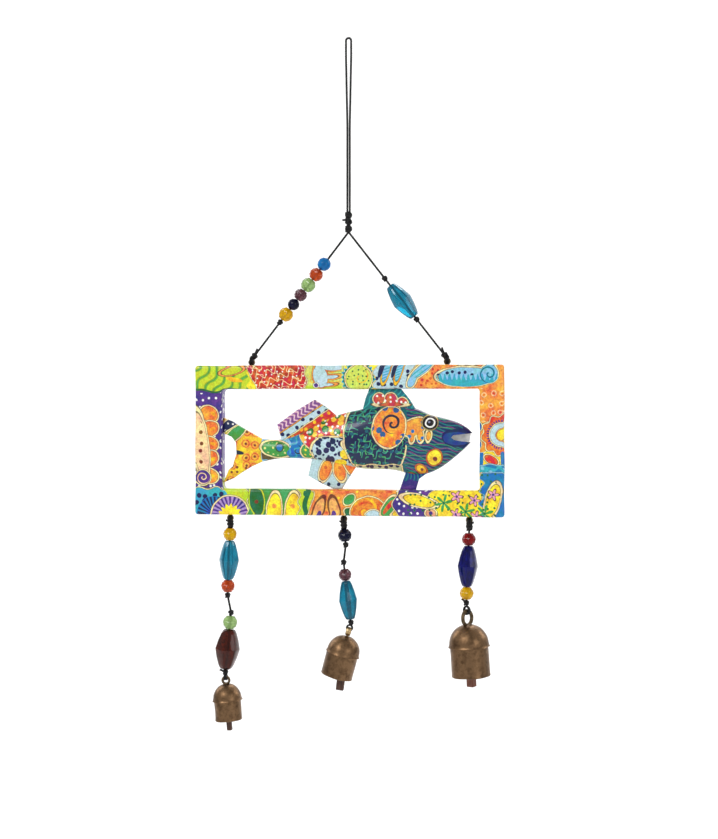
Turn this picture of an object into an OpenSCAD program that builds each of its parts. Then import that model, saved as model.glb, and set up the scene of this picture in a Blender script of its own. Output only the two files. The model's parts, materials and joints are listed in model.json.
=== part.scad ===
// Hanging bell mobile: a carved, painted fish in a wooden frame, hung on waxed
// cord with glass beads, with three strands of beads and bells below the frame.
// Millimetres. The origin is where a hook bears under the top of the hanging
// loop. +X is to the right, +Y to the back and +Z up.

/* [Cord and knots] */
// Diameter of the waxed cord
cord_d = 1.5; // [1.2:0.1:1.7]
// Length of the hanging loop, from the hook to its knots
loop_l = 121; // [90:1:160]
// Bend radius of the cord's centreline over the hook
loop_bend_r = 1.8; // [1.6:0.1:3]
// Radius of the two knots below the loop
apex_knot_r = 3; // [2.7:0.1:3.4]
// Height from the lower apex knot down to the frame's top eyes
bridle_drop = 91; // [75:1:120]
// Bare cord from the left top eye to the bridle's stop knot
left_bridle_bare = 33; // [20:1:40]
// Bare cord from the right top eye to the bridle's stop knot
right_bridle_bare = 34.6; // [20:0.1:40]
// Bare cord between the long bead and the knot above it
right_bridle_slack = 4; // [0:0.1:6]
// Radius of a tie or stop knot
knot_r = 2.1; // [1.9:0.1:2.4]
// Free gap between pieces that turn or rest against each other
gap = 0.3; // [0.2:0.05:0.5]

/* [Frame] */
// Width of the wooden frame
frame_w = 217; // [180:1:260]
// Height of the wooden frame
frame_h = 105; // [95:1:126]
// Thickness of the wooden frame
frame_t = 14; // [11:1:18]
// Height of the top rail
rail_top = 16.6; // [13:0.1:20]
// Height of the bottom rail
rail_bottom = 18.3; // [13:0.1:22]
// Width of the left stile
stile_left = 19.3; // [14:0.1:24]
// Width of the right stile
stile_right = 17; // [14:0.1:22]

/* [Fish] */
// Length of the fish, from its tail's root to its nose
fish_l = 148; // [120:1:178]
// Height of the fish's body at its deepest
fish_h = 46; // [38:1:56]
// Thickness of the fish's body at its fullest
fish_t = 24; // [18:1:30]
// Thickness of the tail and of the fins
fin_t = 5; // [4:0.5:7]
// Depth that a fin is let into the body
fin_let_in = 5; // [4:0.5:7]

/* [Beads] */
// Diameter of a large round bead
bead_l = 9.6; // [8.5:0.1:11]
// Diameter of a middle round bead
bead_m = 9; // [8:0.1:10]
// Diameter of a small round bead
bead_s = 8.4; // [7.5:0.1:9.5]
// Length of a long bead
lantern_l = 27.6; // [23:0.1:33]
// Width of a long bead across its corners
lantern_w = 14.4; // [12:0.1:17]
// Width of the large brown bead across its corners
brown_w = 17.6; // [15:0.1:21]
// Clearance between a bead's bore and the cord, on the radius
bore_clear = 0.3; // [0.2:0.05:0.45]

/* [Strands] */
// Distance of the top eyes from the frame's middle
top_eye_x = 69; // [50:1:82]
// Place of the left strand's eye
left_eye_x = -84.4; // [-88:0.1:-78]
// Place of the middle strand's eye
middle_eye_x = -3.3; // [-10:0.1:10]
// Place of the right strand's eye
right_eye_x = 84.3; // [78:0.1:88]
// Length of the bare cord between a strand's two groups of beads
link_l = 12.4; // [10:0.1:18]
// Bare cord above the middle strand's lower beads
middle_slack = 2.3; // [0:0.1:5]
// Bare cord above the right strand's beads
right_slack = 1.7; // [0:0.1:5]

/* [Bells] */
// Radius of the left bell's crown
left_bell_r = 10; // [8.5:0.1:12]
// Height of the left bell's barrel
left_barrel_h = 15.5; // [13:0.1:19]
// Radius of the middle bell's crown
middle_bell_r = 11.4; // [10:0.1:13.6]
// Height of the middle bell's barrel
middle_barrel_h = 18; // [15:0.1:22]
// Radius of the right bell's crown
right_bell_r = 13.8; // [12:0.1:16]
// Height of the right bell's barrel
right_barrel_h = 22; // [18:0.1:26]
// Thickness of the sheet that the bells are made of
sheet_t = 0.9; // [0.8:0.1:1.2]
// Width of the lip where the crown covers the barrel
lip_h = 1.6; // [1:0.1:2.5]

/* [Hidden] */

fine = 96;
cord_sides = 8;
cord_r = cord_d / 2;
bore_r = cord_r + bore_clear;
overshoot = 1;

// Heights down the hanging cord.
upper_knot_half = 1.4 * apex_knot_r;
upper_knot_z = -loop_l - gap - upper_knot_half;
lower_knot_z = upper_knot_z - upper_knot_half - gap - apex_knot_r;
// Screw eyes: the wire's and the ring's centre radii, and the shank.
eye_wire_r = 0.5;
eye_ring_r = 2;
eye_shank_r = 0.7;
eye_shank_l = 9;
// The wire's centre at the ring's far side, from the face that the eye is screwed into.
eye_reach = 2 * eye_ring_r + eye_wire_r;
eye_xs = [left_eye_x, middle_eye_x, right_eye_x];

frame_top_z = lower_knot_z - bridle_drop - eye_reach;
frame_bottom_z = frame_top_z - frame_h;
frame_mid_z = (frame_top_z + frame_bottom_z) / 2;

// Bells, from left to right.
bell_r = [left_bell_r, middle_bell_r, right_bell_r];
barrel_h = [left_barrel_h, middle_barrel_h, right_barrel_h];
ring_r = [2.4, 2.6, 5];
ring_wire_r = [0.9, 1, 1.3];
ring_sink = [0.9, 0.3, 2];
ring_yaw = [0, 90, 55];
clapper_w = [3.4, 4.4, 4.6];
clapper_t = [3.8, 5.4, 5.6];
clapper_below = [7.5, 9, 7.5];
clapper_lean = [0, 8, 0];
clapper_tone = ["saddlebrown", "saddlebrown", "sienna"];
pin_r = 0.7;
pin_clear = 0.3;
pin_depth = 4.4;
clapper_head = 1.7;
cheek_t = 1;
stem_r = 0.8;

// How far each stretch of a strand leans to the left, in degrees.
upper_lean = [2.3, -5.7, 2.3];
link_lean = [-11.6, 7.1, 0];
lower_lean = [5.6, -7, 0];
bell_lean = [-4.4, 15, -3.8];

// A loop of cord round a wire: its room across, under the wire, and per length of its tie.
loop_slack = 0.25;
loop_clear = 0.15;
loop_share = 0.7;
// Extra length of each bell's tie.
bell_tie_slack = [0, 0.4, 1.8];

// Bare cord above the beads of each strand's upper and lower stretch.
upper_slack = [0, 0, right_slack];
lower_slack = [0, middle_slack, 0];

// Lengths of the long beads, and of the beads along the cord, from the top of each stretch down.
brown_l = lantern_l + 0.7;
cobalt_l = lantern_l + 0.7;
short_l = lantern_l - 0.6;
function round_l(d) = d * cos(18);
left_upper = [round_l(bead_m), lantern_l, round_l(bead_m)];
left_lower = [round_l(bead_l), brown_l];
middle_upper = [round_l(bead_m)];
middle_lower = [round_l(bead_s), short_l];
right_upper = [round_l(bead_m), cobalt_l, round_l(bead_m)];
bridle_stack = [round_l(bead_l), round_l(bead_s), round_l(bead_s), round_l(bead_l),
                round_l(bead_m), round_l(bead_l)];

function sum(v, n) = n <= 0 ? 0 : v[n - 1] + sum(v, n - 1);
// Centre of bead i, from the centre of the knot that its stretch starts at.
function bead_at(v, i, slack = 0) = knot_r + gap + slack + sum(v, i) + i * gap + v[i] / 2;
// Centre of the knot that closes a stretch.
function stretch_l(v, slack = 0) = bead_at(v, len(v) - 1, slack) + v[len(v) - 1] / 2 + gap + knot_r;
function down(p, lean, far) = p + far * [-sin(lean), 0, -cos(lean)];
// From a wire's centre to the centre of the knot of the loop tied round it.
function tie_l(wire_r) = wire_r + gap + knot_r;

// Knot and pivot places of strand s: eye, tie knot, stop knot, link knot, bell knot, bell ring.
function eye_pivot(s) = [eye_xs[s], 0, frame_bottom_z - eye_reach];
function tie_knot(s) = down(eye_pivot(s), 0, tie_l(eye_wire_r));
function upper_list(s) = [left_upper, middle_upper, right_upper][s];
function lower_list(s) = [left_lower, middle_lower, []][s];
function upper_l(s) = stretch_l(upper_list(s), upper_slack[s]);
function lower_l(s) = stretch_l(lower_list(s), lower_slack[s]);
function stop_knot(s) = down(tie_knot(s), upper_lean[s], upper_l(s));
function link_knot(s) = down(stop_knot(s), link_lean[s], link_l);
function bell_knot(s) = s == 2 ? stop_knot(s) : down(link_knot(s), lower_lean[s], lower_l(s));
function bell_tie_l(s) = tie_l(ring_wire_r[s]) + bell_tie_slack[s];
function bell_pivot(s) = down(bell_knot(s), bell_lean[s], bell_tie_l(s));
// Heights inside a bell, below its pivot.
function crown_top(s) = 2 * ring_r[s] + ring_wire_r[s] - ring_sink[s];
function seam(s) = crown_top(s) + bell_r[s];
function mouth(s) = seam(s) + barrel_h[s];
function pin_drop(s) = crown_top(s) + sheet_t + pin_depth;
function barrel_r(s) = bell_r[s] - sheet_t / 2;
function clapper_pivot(s) = down(bell_pivot(s), bell_lean[s], pin_drop(s));
// The angle at which a clapper meets its barrel's rim.
function clapper_swing(s) =
    floor(atan((barrel_r(s) - sheet_t - clapper_t[s] / 2) / (mouth(s) - pin_drop(s))) - 2);

// Bridle: the eye, the tie knot and the direction up each leg.
leg_start_x = cord_r + 0.15;
leg_start_z = lower_knot_z - apex_knot_r - gap;
top_eye_z = frame_top_z + eye_reach;
leg_run = top_eye_x - leg_start_x;
leg_rise = leg_start_z - top_eye_z;
leg_l = sqrt(pow(leg_run, 2) + pow(leg_rise, 2));
leg_lean = atan(leg_run / leg_rise);
leg_tie = tie_l(eye_wire_r) + gap;
long_top_knot = right_bridle_bare + 2 * (knot_r + gap) + lantern_l + right_bridle_slack;

// Points of the hanging loop's centreline, up the left side, round the hook and down.
// Its two sides lie together in the lower half.
loop_foot_x = cord_r + bore_clear / 3;
loop_top_z = cord_r - loop_bend_r;
function loop_x(share) = loop_foot_x + (loop_bend_r - loop_foot_x) * max(0, share - 50) / 40;
function loop_z(share) = -loop_l + (loop_l + loop_top_z) * share / 100;
loop_route = concat(
    [for (share = [0:10:90]) [-loop_x(share), 0, loop_z(share)]],
    [for (a = [180:-20:0]) [loop_bend_r * cos(a), 0, loop_top_z + loop_bend_r * sin(a)]],
    [for (share = [90:-10:0]) [loop_x(share), 0, loop_z(share)]]
);

// Fish stations from the tail's root to the nose: share of the length, then the top,
// the bottom and half the thickness, as shares of the body's height and thickness.
stations = [
    [0.00, 0.020, -0.330, 0.38], [0.09, 0.010, -0.275, 0.48], [0.18, 0.100, -0.275, 0.62],
    [0.27, 0.270, -0.300, 0.80], [0.37, 0.390, -0.360, 0.92], [0.46, 0.460, -0.420, 0.99],
    [0.55, 0.520, -0.440, 1.00], [0.64, 0.530, -0.450, 0.98], [0.73, 0.490, -0.520, 0.92],
    [0.80, 0.390, -0.490, 0.82], [0.87, 0.335, -0.370, 0.68], [0.93, 0.275, -0.220, 0.50],
    [0.975, 0.190, -0.080, 0.32], [1.00, 0.110, 0.010, 0.10],
];
rings_between = 3;
body_sides = 24;
tail_root_x = -61.5;
nose_x = tail_root_x + fish_l;

function blend4(a, b, c, d, t) =
    0.5 * ((2 * b) + (c - a) * t + (2 * a - 5 * b + 4 * c - d) * t * t
        + (3 * b - a - 3 * c + d) * t * t * t);
function station(i, t) =
    let (n = len(stations) - 1)
    blend4(stations[max(i - 1, 0)], stations[i], stations[min(i + 1, n)], stations[min(i + 2, n)], t);
body_rings = concat(
    [for (i = [0:len(stations) - 2], k = [0:rings_between - 1]) station(i, k / rings_between)],
    [stations[len(stations) - 1]]
);

// Joins rings of equally many points into one closed solid.
module skin(rings) {
    n = len(rings[0]);
    m = len(rings);
    polyhedron(
        points = [for (r = rings, p = r) p],
        faces = concat(
            [[for (i = [0:n - 1]) i]],
            [for (k = [0:m - 2], i = [0:n - 1], half = [0, 1])
                let (j = (i + 1) % n)
                half == 0 ? [k * n + i, (k + 1) * n + i, (k + 1) * n + j]
                    : [k * n + i, (k + 1) * n + j, k * n + j]],
            [[for (i = [n - 1:-1:0]) (m - 1) * n + i]]
        )
    );
}

function heading(route, i) =
    let (a = route[max(i - 1, 0)], b = route[min(i + 1, len(route) - 1)])
    (b - a) / norm(b - a);

// A cord along a route that lies in the X-Z plane.
module cord(route) {
    skin([for (i = [0:len(route) - 1])
        let (side = cross([0, 1, 0], heading(route, i)))
        [for (k = [0:cord_sides - 1])
            let (a = 360 * k / cord_sides)
            route[i] + cord_r * (cos(a) * side + sin(a) * [0, 1, 0])]]);
}

// A straight stretch of cord between two points, with a ring every few diameters.
module straight_cord(a, b) {
    steps = ceil(norm(b - a) / (6 * cord_d));
    cord([for (i = [0:steps]) a + (b - a) * i / steps]);
}

module knot(p, r = knot_r) {
    translate(p) sphere(r = r, $fn = fine);
}

module torus(centre_r, wire_r) {
    rotate_extrude($fn = fine) translate([centre_r, 0]) circle(r = wire_r, $fn = 32);
}

// A loop of cord round a wire at the origin, hanging below it.
module wire_loop(wire_r, slack = loop_slack) {
    loop_r = wire_r + cord_r + slack;
    translate([0, 0, wire_r + cord_r + loop_clear - loop_r])
        rotate([0, 90, 0]) torus(loop_r, cord_r);
}

module round_bead(d) {
    difference() {
        sphere(d = d, $fn = 10);
        cylinder(h = d + 2 * overshoot, r = bore_r, center = true, $fn = fine);
    }
}

// A long six-sided bead, widest in the middle.
module long_bead(l, w) {
    difference() {
        translate([0, 0, -l / 2])
            rotate_extrude($fn = 6)
            polygon([[0, 0], [0.26 * w, 0], [0.42 * w, 0.24 * l], [w / 2, 0.5 * l],
                [0.42 * w, 0.76 * l], [0.26 * w, l], [0, l]]);
        cylinder(h = l + 2 * overshoot, r = bore_r, center = true, $fn = fine);
    }
}

module screw_eye() {
    translate([0, 0, eye_ring_r + eye_wire_r]) rotate([90, 0, 0]) torus(eye_ring_r, eye_wire_r);
    translate([0, 0, -eye_shank_l]) cylinder(h = eye_shank_l + eye_wire_r, r = eye_shank_r, $fn = fine);
}

module at_top_eyes() {
    for (x = [-top_eye_x, top_eye_x]) translate([x, 0, frame_top_z]) children();
}

module at_bottom_eyes() {
    for (x = eye_xs) translate([x, 0, frame_bottom_z]) rotate([180, 0, 0]) children();
}

module shank_hole() {
    translate([0, 0, -eye_shank_l]) cylinder(h = eye_shank_l + overshoot, r = eye_shank_r, $fn = fine);
}

module frame() {
    color("orange") difference() {
        translate([-frame_w / 2, -frame_t / 2, frame_bottom_z]) cube([frame_w, frame_t, frame_h]);
        translate([-frame_w / 2 + stile_left, -frame_t, frame_bottom_z + rail_bottom])
            cube([frame_w - stile_left - stile_right, 2 * frame_t, frame_h - rail_top - rail_bottom]);
        at_top_eyes() shank_hole();
        at_bottom_eyes() shank_hole();
    }
}

// A flat piece of the fish, drawn in the plane of the frame.
module plate(points, t = fin_t) {
    translate([0, t / 2, frame_mid_z]) rotate([90, 0, 0]) linear_extrude(height = t) polygon(points);
}

// Places on the fish that the fins meet, from the frame's middle.
opening_top = frame_h / 2 - rail_top;
opening_bottom = -frame_h / 2 + rail_bottom;
opening_left = -frame_w / 2 + stile_left;
function along(share) = tail_root_x + share * fish_l;
function high(share) = share * fish_h;

module front_dorsal_fin() {
    color("teal") plate([
        [along(0.485), high(0.47) - fin_let_in], [along(0.485), high(0.47)],
        [along(0.515), opening_top], [along(0.665), opening_top],
        [along(0.71), high(0.60)], [along(0.735), high(0.47)],
        [along(0.735), high(0.47) - fin_let_in],
    ]);
}

module rear_dorsal_fin() {
    color("mediumpurple") plate([
        [along(0.10), high(0.05) - 0.8 * fin_let_in], [along(0.075), high(0.24)],
        [along(0.255), high(0.62)], [along(0.36), high(0.37)],
        [along(0.36), high(0.37) - fin_let_in],
    ]);
}

module pelvic_fin() {
    color("darkslateblue") plate([
        [along(0.69), high(-0.44) + fin_let_in], [along(0.69), high(-0.46)],
        [along(0.66), opening_bottom], [along(0.735), opening_bottom],
        [along(0.75), high(-0.58)], [along(0.79), high(-0.49)],
        [along(0.79), high(-0.49) + fin_let_in],
    ]);
}

module anal_fin() {
    color("orange") plate([
        [along(0.25), high(-0.29) + fin_let_in], [along(0.225), high(-0.54)],
        [along(0.345), opening_bottom + gap], [along(0.385), opening_bottom + gap],
        [along(0.45), high(-0.41)], [along(0.45), high(-0.41) + fin_let_in],
    ]);
}

module tail_fin() {
    color("gold") plate([
        [opening_left, high(0.345)], [along(-0.10), high(0.20)], [along(0), high(0.02)],
        [along(0.06), high(-0.02)], [along(0.06), high(-0.26)], [along(0), high(-0.33)],
        [along(-0.10), high(-0.50)], [opening_left + gap, high(-0.65)],
        [along(-0.16), high(-0.455)], [along(-0.14), high(-0.40)], [along(-0.135), high(-0.33)],
        [along(-0.122), high(-0.21)], [along(-0.125), high(-0.04)], [along(-0.145), high(0.05)],
        [opening_left, high(0.11)],
    ]);
}

module mouth_cut() {
    plate([
        [nose_x - 15, high(0.05)], [nose_x + 1, high(0.125)], [nose_x + 1, high(-0.03)],
    ], fish_t);
}

module fish_body() {
    color("teal") difference() {
        skin([for (s = body_rings)
            [for (k = [0:body_sides - 1])
                let (a = 360 * k / body_sides)
                [along(s[0]), s[3] * fish_t / 2 * cos(a),
                    frame_mid_z + fish_h * ((s[1] + s[2]) / 2 - (s[1] - s[2]) / 2 * sin(a))]]]);
        tail_fin();
        front_dorsal_fin();
        rear_dorsal_fin();
        pelvic_fin();
        anal_fin();
        mouth_cut();
    }
}

// A leg of the bridle in its own frame: the eye's wire is at the origin and the cord runs up.
module on_leg(side) {
    translate([side * top_eye_x, 0, top_eye_z]) rotate([0, -side * leg_lean, 0]) children();
}

module bridle_cord(side, stops) {
    color("dimgray") union() {
        translate([side * top_eye_x, 0, top_eye_z]) mirror([0, 0, 1]) wire_loop(eye_wire_r);
        on_leg(side) {
            knot([0, 0, leg_tie]);
            straight_cord([0, 0, leg_tie], [0, 0, leg_l]);
            for (z = stops) knot([0, 0, z]);
        }
    }
}

module bridle_bead(i, d, tone) {
    color(tone) on_leg(-1) translate([0, 0, left_bridle_bare + bead_at(bridle_stack, i)]) round_bead(d);
}

// A stretch of a strand in its own frame: its upper knot is at the origin, and it hangs down.
module on_stretch(p, lean) {
    translate(p) rotate([0, lean, 0]) children();
}

module upper_cord(s) {
    color("dimgray") on_stretch(tie_knot(s), upper_lean[s]) {
        straight_cord([0, 0, -knot_r - gap], [0, 0, -upper_l(s)]);
        knot([0, 0, -upper_l(s)]);
    }
}

module link_cord(s) {
    color("dimgray") on_stretch(stop_knot(s), link_lean[s]) {
        straight_cord([0, 0, -knot_r - gap], [0, 0, -link_l]);
        knot([0, 0, -link_l]);
    }
}

module lower_cord(s) {
    color("dimgray") on_stretch(link_knot(s), lower_lean[s]) {
        straight_cord([0, 0, -knot_r - gap], [0, 0, -lower_l(s)]);
        knot([0, 0, -lower_l(s)]);
    }
}

module eye_tie(s) {
    color("dimgray") translate(eye_pivot(s)) {
        wire_loop(eye_wire_r);
        knot([0, 0, -tie_l(eye_wire_r)]);
    }
}

// A bell in its own frame: the origin is the wire's centre at the top of its ring.
module on_bell(s) {
    translate(bell_pivot(s)) rotate([0, bell_lean[s], 0]) rotate([0, 0, ring_yaw[s]]) children();
}

// The loop of cord through a bell's ring: it starts clear of the knot that it hangs from.
module bell_tie(s) {
    color("dimgray") on_bell(s) difference() {
        mirror([0, 0, 1]) wire_loop(ring_wire_r[s], loop_slack + loop_share * bell_tie_slack[s]);
        knot([0, 0, bell_tie_l(s)], knot_r + gap / 2);
    }
}

module hanger_shape(s) {
    strip_z = -crown_top(s) - sheet_t - 1;
    translate([0, 0, -ring_r[s]]) rotate([90, 0, 0]) torus(ring_r[s], ring_wire_r[s]);
    translate([0, 0, strip_z]) cylinder(h = -strip_z - 2 * ring_r[s], r = stem_r, $fn = fine);
    cheek_x = clapper_w[s] / 2 + gap;
    translate([-cheek_x - cheek_t, -1.2, strip_z - cheek_t])
        cube([2 * (cheek_x + cheek_t), 2.4, cheek_t]);
    for (x = [-cheek_x - cheek_t, cheek_x])
        translate([x, -1.2, -pin_drop(s) - 1.4]) cube([cheek_t, 2.4, pin_drop(s) + 1.4 + strip_z]);
    translate([-cheek_x - cheek_t / 2, 0, -pin_drop(s)])
        rotate([0, 90, 0]) cylinder(h = 2 * cheek_x + cheek_t, r = pin_r, $fn = fine);
}

module bell_hanger(s) {
    color("peru") on_bell(s) hanger_shape(s);
}

module below_seam(s, drop, r) {
    translate([0, 0, -2 * bell_r[s] - drop]) cylinder(h = 2 * bell_r[s], r = r, $fn = fine);
}

module bell_crown(s) {
    color("darkgoldenrod") on_bell(s) difference() {
        translate([0, 0, -seam(s)]) difference() {
            union() {
                sphere(r = bell_r[s], $fn = fine);
                translate([0, 0, -lip_h]) cylinder(h = lip_h, r = bell_r[s], $fn = fine);
            }
            sphere(r = bell_r[s] - sheet_t, $fn = fine);
            below_seam(s, 0, barrel_r(s));
            below_seam(s, lip_h, 2 * bell_r[s]);
        }
        translate([0, 0, -ring_r[s]]) rotate([90, 0, 0]) torus(ring_r[s], ring_wire_r[s]);
        translate([0, 0, -crown_top(s) - 2 * sheet_t]) cylinder(h = 4 * sheet_t, r = stem_r, $fn = fine);
    }
}

module bell_barrel(s) {
    color("darkgoldenrod") on_bell(s) translate([0, 0, -mouth(s)]) difference() {
        cylinder(h = barrel_h[s], r = barrel_r(s), $fn = fine);
        translate([0, 0, -overshoot])
            cylinder(h = barrel_h[s] + 2 * overshoot, r = barrel_r(s) - sheet_t, $fn = fine);
    }
}

module clapper(s) {
    l = mouth(s) - pin_drop(s) + clapper_below[s];
    color(clapper_tone[s]) on_bell(s) translate([0, 0, -pin_drop(s)])
        rotate([-clapper_lean[s], 0, 0]) difference() {
        translate([-clapper_w[s] / 2, -clapper_t[s] / 2, -l])
            cube([clapper_w[s], clapper_t[s], l + clapper_head]);
        rotate([0, 90, 0])
            cylinder(h = clapper_w[s] + 2 * overshoot, r = pin_r + pin_clear, center = true, $fn = fine);
    }
}

// Bead i of a strand's upper or lower stretch.
module on_upper(s, i) {
    on_stretch(tie_knot(s), upper_lean[s])
        translate([0, 0, -bead_at(upper_list(s), i, upper_slack[s])]) children();
}

module on_lower(s, i) {
    on_stretch(link_knot(s), lower_lean[s])
        translate([0, 0, -bead_at(lower_list(s), i, lower_slack[s])]) children();
}

module turned_long(l, w, turn) {
    rotate([0, 0, turn]) long_bead(l, w);
}

module hanging_loop() {
    color("dimgray") cord(loop_route);
}

// The upper knot is a stack of cord turns, round about the vertical.
module apex_upper_knot() {
    color("dimgray") translate([0, 0, upper_knot_z]) rotate_extrude($fn = fine) {
        intersection() {
            union() {
                translate([0, 0.3 * upper_knot_half]) circle(r = 0.7 * upper_knot_half, $fn = 64);
                translate([0, -0.3 * upper_knot_half]) circle(r = 0.7 * upper_knot_half, $fn = 64);
            }
            translate([0, -upper_knot_half]) square([2 * upper_knot_half, 2 * upper_knot_half]);
        }
    }
}

hanging_loop();
apex_upper_knot();
color("dimgray") knot([0, 0, lower_knot_z], apex_knot_r);  // apex_lower_knot
bridle_cord(-1, [left_bridle_bare]);  // left_bridle_cord
bridle_cord(1, [right_bridle_bare, long_top_knot]);  // right_bridle_cord
bridle_bead(0, bead_l, "gold");  // bridle_yellow_bead
bridle_bead(1, bead_s, "midnightblue");  // bridle_navy_bead
bridle_bead(2, bead_s, "rosybrown");  // bridle_mauve_bead
bridle_bead(3, bead_l, "palegreen");  // bridle_green_bead
bridle_bead(4, bead_m, "orangered");  // bridle_orange_bead
bridle_bead(5, bead_l, "dodgerblue");  // bridle_blue_bead
color("deepskyblue") on_leg(1)  // bridle_long_bead
        translate([0, 0, right_bridle_bare + bead_at([lantern_l], 0)]) long_bead(lantern_l, lantern_w);
frame();
fish_body();
tail_fin();
front_dorsal_fin();
rear_dorsal_fin();
pelvic_fin();
anal_fin();
color("gold") at_top_eyes() screw_eye();  // top_screw_eyes
color("gold") at_bottom_eyes() screw_eye();  // bottom_screw_eyes

eye_tie(0);  // left_eye_tie
upper_cord(0);  // left_upper_cord
link_cord(0);  // left_link_cord
lower_cord(0);  // left_lower_cord
bell_tie(0);  // left_bell_tie
bell_hanger(0);  // left_bell_hanger
bell_crown(0);  // left_bell_crown
bell_barrel(0);  // left_bell_barrel
clapper(0);  // left_clapper
eye_tie(1);  // middle_eye_tie
upper_cord(1);  // middle_upper_cord
link_cord(1);  // middle_link_cord
lower_cord(1);  // middle_lower_cord
bell_tie(1);  // middle_bell_tie
bell_hanger(1);  // middle_bell_hanger
bell_crown(1);  // middle_bell_crown
bell_barrel(1);  // middle_bell_barrel
clapper(1);  // middle_clapper
eye_tie(2);  // right_eye_tie
upper_cord(2);  // right_upper_cord
bell_tie(2);  // right_bell_tie
bell_hanger(2);  // right_bell_hanger
bell_crown(2);  // right_bell_crown
bell_barrel(2);  // right_bell_barrel
clapper(2);  // right_clapper
color("goldenrod") on_upper(0, 0) round_bead(bead_m);  // left_yellow_bead
color("deepskyblue") on_upper(0, 1) turned_long(lantern_l, lantern_w, 0);  // left_long_bead
color("orangered") on_upper(0, 2) round_bead(bead_m);  // left_orange_bead
color("palegreen") on_lower(0, 0) round_bead(bead_l);  // left_green_bead
color("saddlebrown") on_lower(0, 1) turned_long(left_lower[1], brown_w, 20);  // left_brown_bead
color("midnightblue") on_upper(1, 0) round_bead(bead_m);  // middle_navy_bead
color("rosybrown") on_lower(1, 0) round_bead(bead_s);  // middle_mauve_bead
color("deepskyblue") on_lower(1, 1) turned_long(middle_lower[1], lantern_w, 35);  // middle_long_bead
color("firebrick") on_upper(2, 0) round_bead(bead_m);  // right_red_bead
color("mediumblue") on_upper(2, 1) turned_long(right_upper[1], lantern_w, 15);  // right_long_bead
color("gold") on_upper(2, 2) round_bead(bead_m);  // right_yellow_bead
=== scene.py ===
"""A hanging bell mobile: a painted fish in its frame, on waxed cord, with glass beads and bells."""
import bmesh
import bpy
import json
import math
from mathutils import Matrix, Quaternion, Vector, noise


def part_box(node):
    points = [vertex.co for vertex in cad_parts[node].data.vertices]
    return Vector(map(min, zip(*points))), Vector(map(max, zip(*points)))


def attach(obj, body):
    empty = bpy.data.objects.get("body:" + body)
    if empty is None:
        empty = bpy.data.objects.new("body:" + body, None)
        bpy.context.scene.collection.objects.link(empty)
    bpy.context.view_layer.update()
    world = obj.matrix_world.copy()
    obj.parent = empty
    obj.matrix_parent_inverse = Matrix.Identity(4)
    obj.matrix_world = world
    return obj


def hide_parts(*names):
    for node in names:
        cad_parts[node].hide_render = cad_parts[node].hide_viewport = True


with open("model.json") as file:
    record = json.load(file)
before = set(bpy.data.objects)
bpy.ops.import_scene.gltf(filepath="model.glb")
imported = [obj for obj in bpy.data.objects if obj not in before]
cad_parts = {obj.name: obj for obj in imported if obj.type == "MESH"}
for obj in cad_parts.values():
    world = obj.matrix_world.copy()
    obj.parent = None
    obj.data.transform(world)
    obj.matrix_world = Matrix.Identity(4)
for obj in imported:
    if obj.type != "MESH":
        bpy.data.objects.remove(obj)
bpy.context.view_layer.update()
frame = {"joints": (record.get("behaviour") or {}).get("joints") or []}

MM = 0.001
pivots = {j["name"]: Vector(j["pos_m"]) for j in frame["joints"]}
axes = {j["name"]: Vector(j["axis"]).normalized() for j in frame["joints"]}
board_low, board_high = (Vector(c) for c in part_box("frame"))
BOARD = (board_low + board_high) / 2
UP = Vector((0, 0, 1))

CORD = 1.5 * MM
PLIES, PLY_DEPTH, PLY_TWIST = 3, 0.16, 1300
LOOP_LENGTH = 121 * MM


# ---------------------------------------------------------------- colours

def rgb(code):
    """A paint's colour from its six-figure mix, made linear."""
    parts = [int(code[i:i + 2], 16) / 255 for i in (0, 2, 4)]
    return [c / 12.92 if c <= 0.04045 else ((c + 0.055) / 1.055) ** 2.4 for c in parts] + [1]


LIME, OLIVE, LEAF, FOREST = rgb("c3d62a"), rgb("7fae2c"), rgb("3f9c46"), rgb("1d6b3a")
YELLOW, GOLD, ORANGE, RUST = rgb("f6dc2e"), rgb("f3b722"), rgb("f09844"), rgb("d4552a")
RED, PINK, PEACH, CREAM = rgb("cf3328"), rgb("e7a3b8"), rgb("f6cf9c"), rgb("f3e2a6")
WHITE, MIST, SKY, TURQUOISE = rgb("f4f4ee"), rgb("b9d6dd"), rgb("86c3de"), rgb("35a9bd")
COBALT, NAVY, TEAL, PURPLE = rgb("1673b8"), rgb("141f4f"), rgb("0f5e6c"), rgb("4c3186")
# the umber here is painted shade, drawn as a thin dark band beside each raised outline
LILAC, BROWN, INK, OUTLINE_SHADE = rgb("a58ac4"), rgb("7c3f22"), rgb("0b0a0e"), rgb("4a3a22")
CITRON, FLAME, APRICOT = rgb("d3d86a"), rgb("e2622a"), rgb("ef8f34")
LAGOON, BRICK = rgb("1c7c7c"), rgb("c9542b")


# ---------------------------------------------------------------- fields and paint

def add_node(tree, kind, inputs, **settings):
    """A new node of a material. Each input takes another node's socket or a fixed value."""
    node = tree.nodes.new("ShaderNode" + kind)
    for name, value in settings.items():
        setattr(node, name, value)
    for key, value in inputs.items():
        if isinstance(value, bpy.types.NodeSocket):
            tree.links.new(value, node.inputs[key])
        else:
            node.inputs[key].default_value = value
    return node


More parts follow.
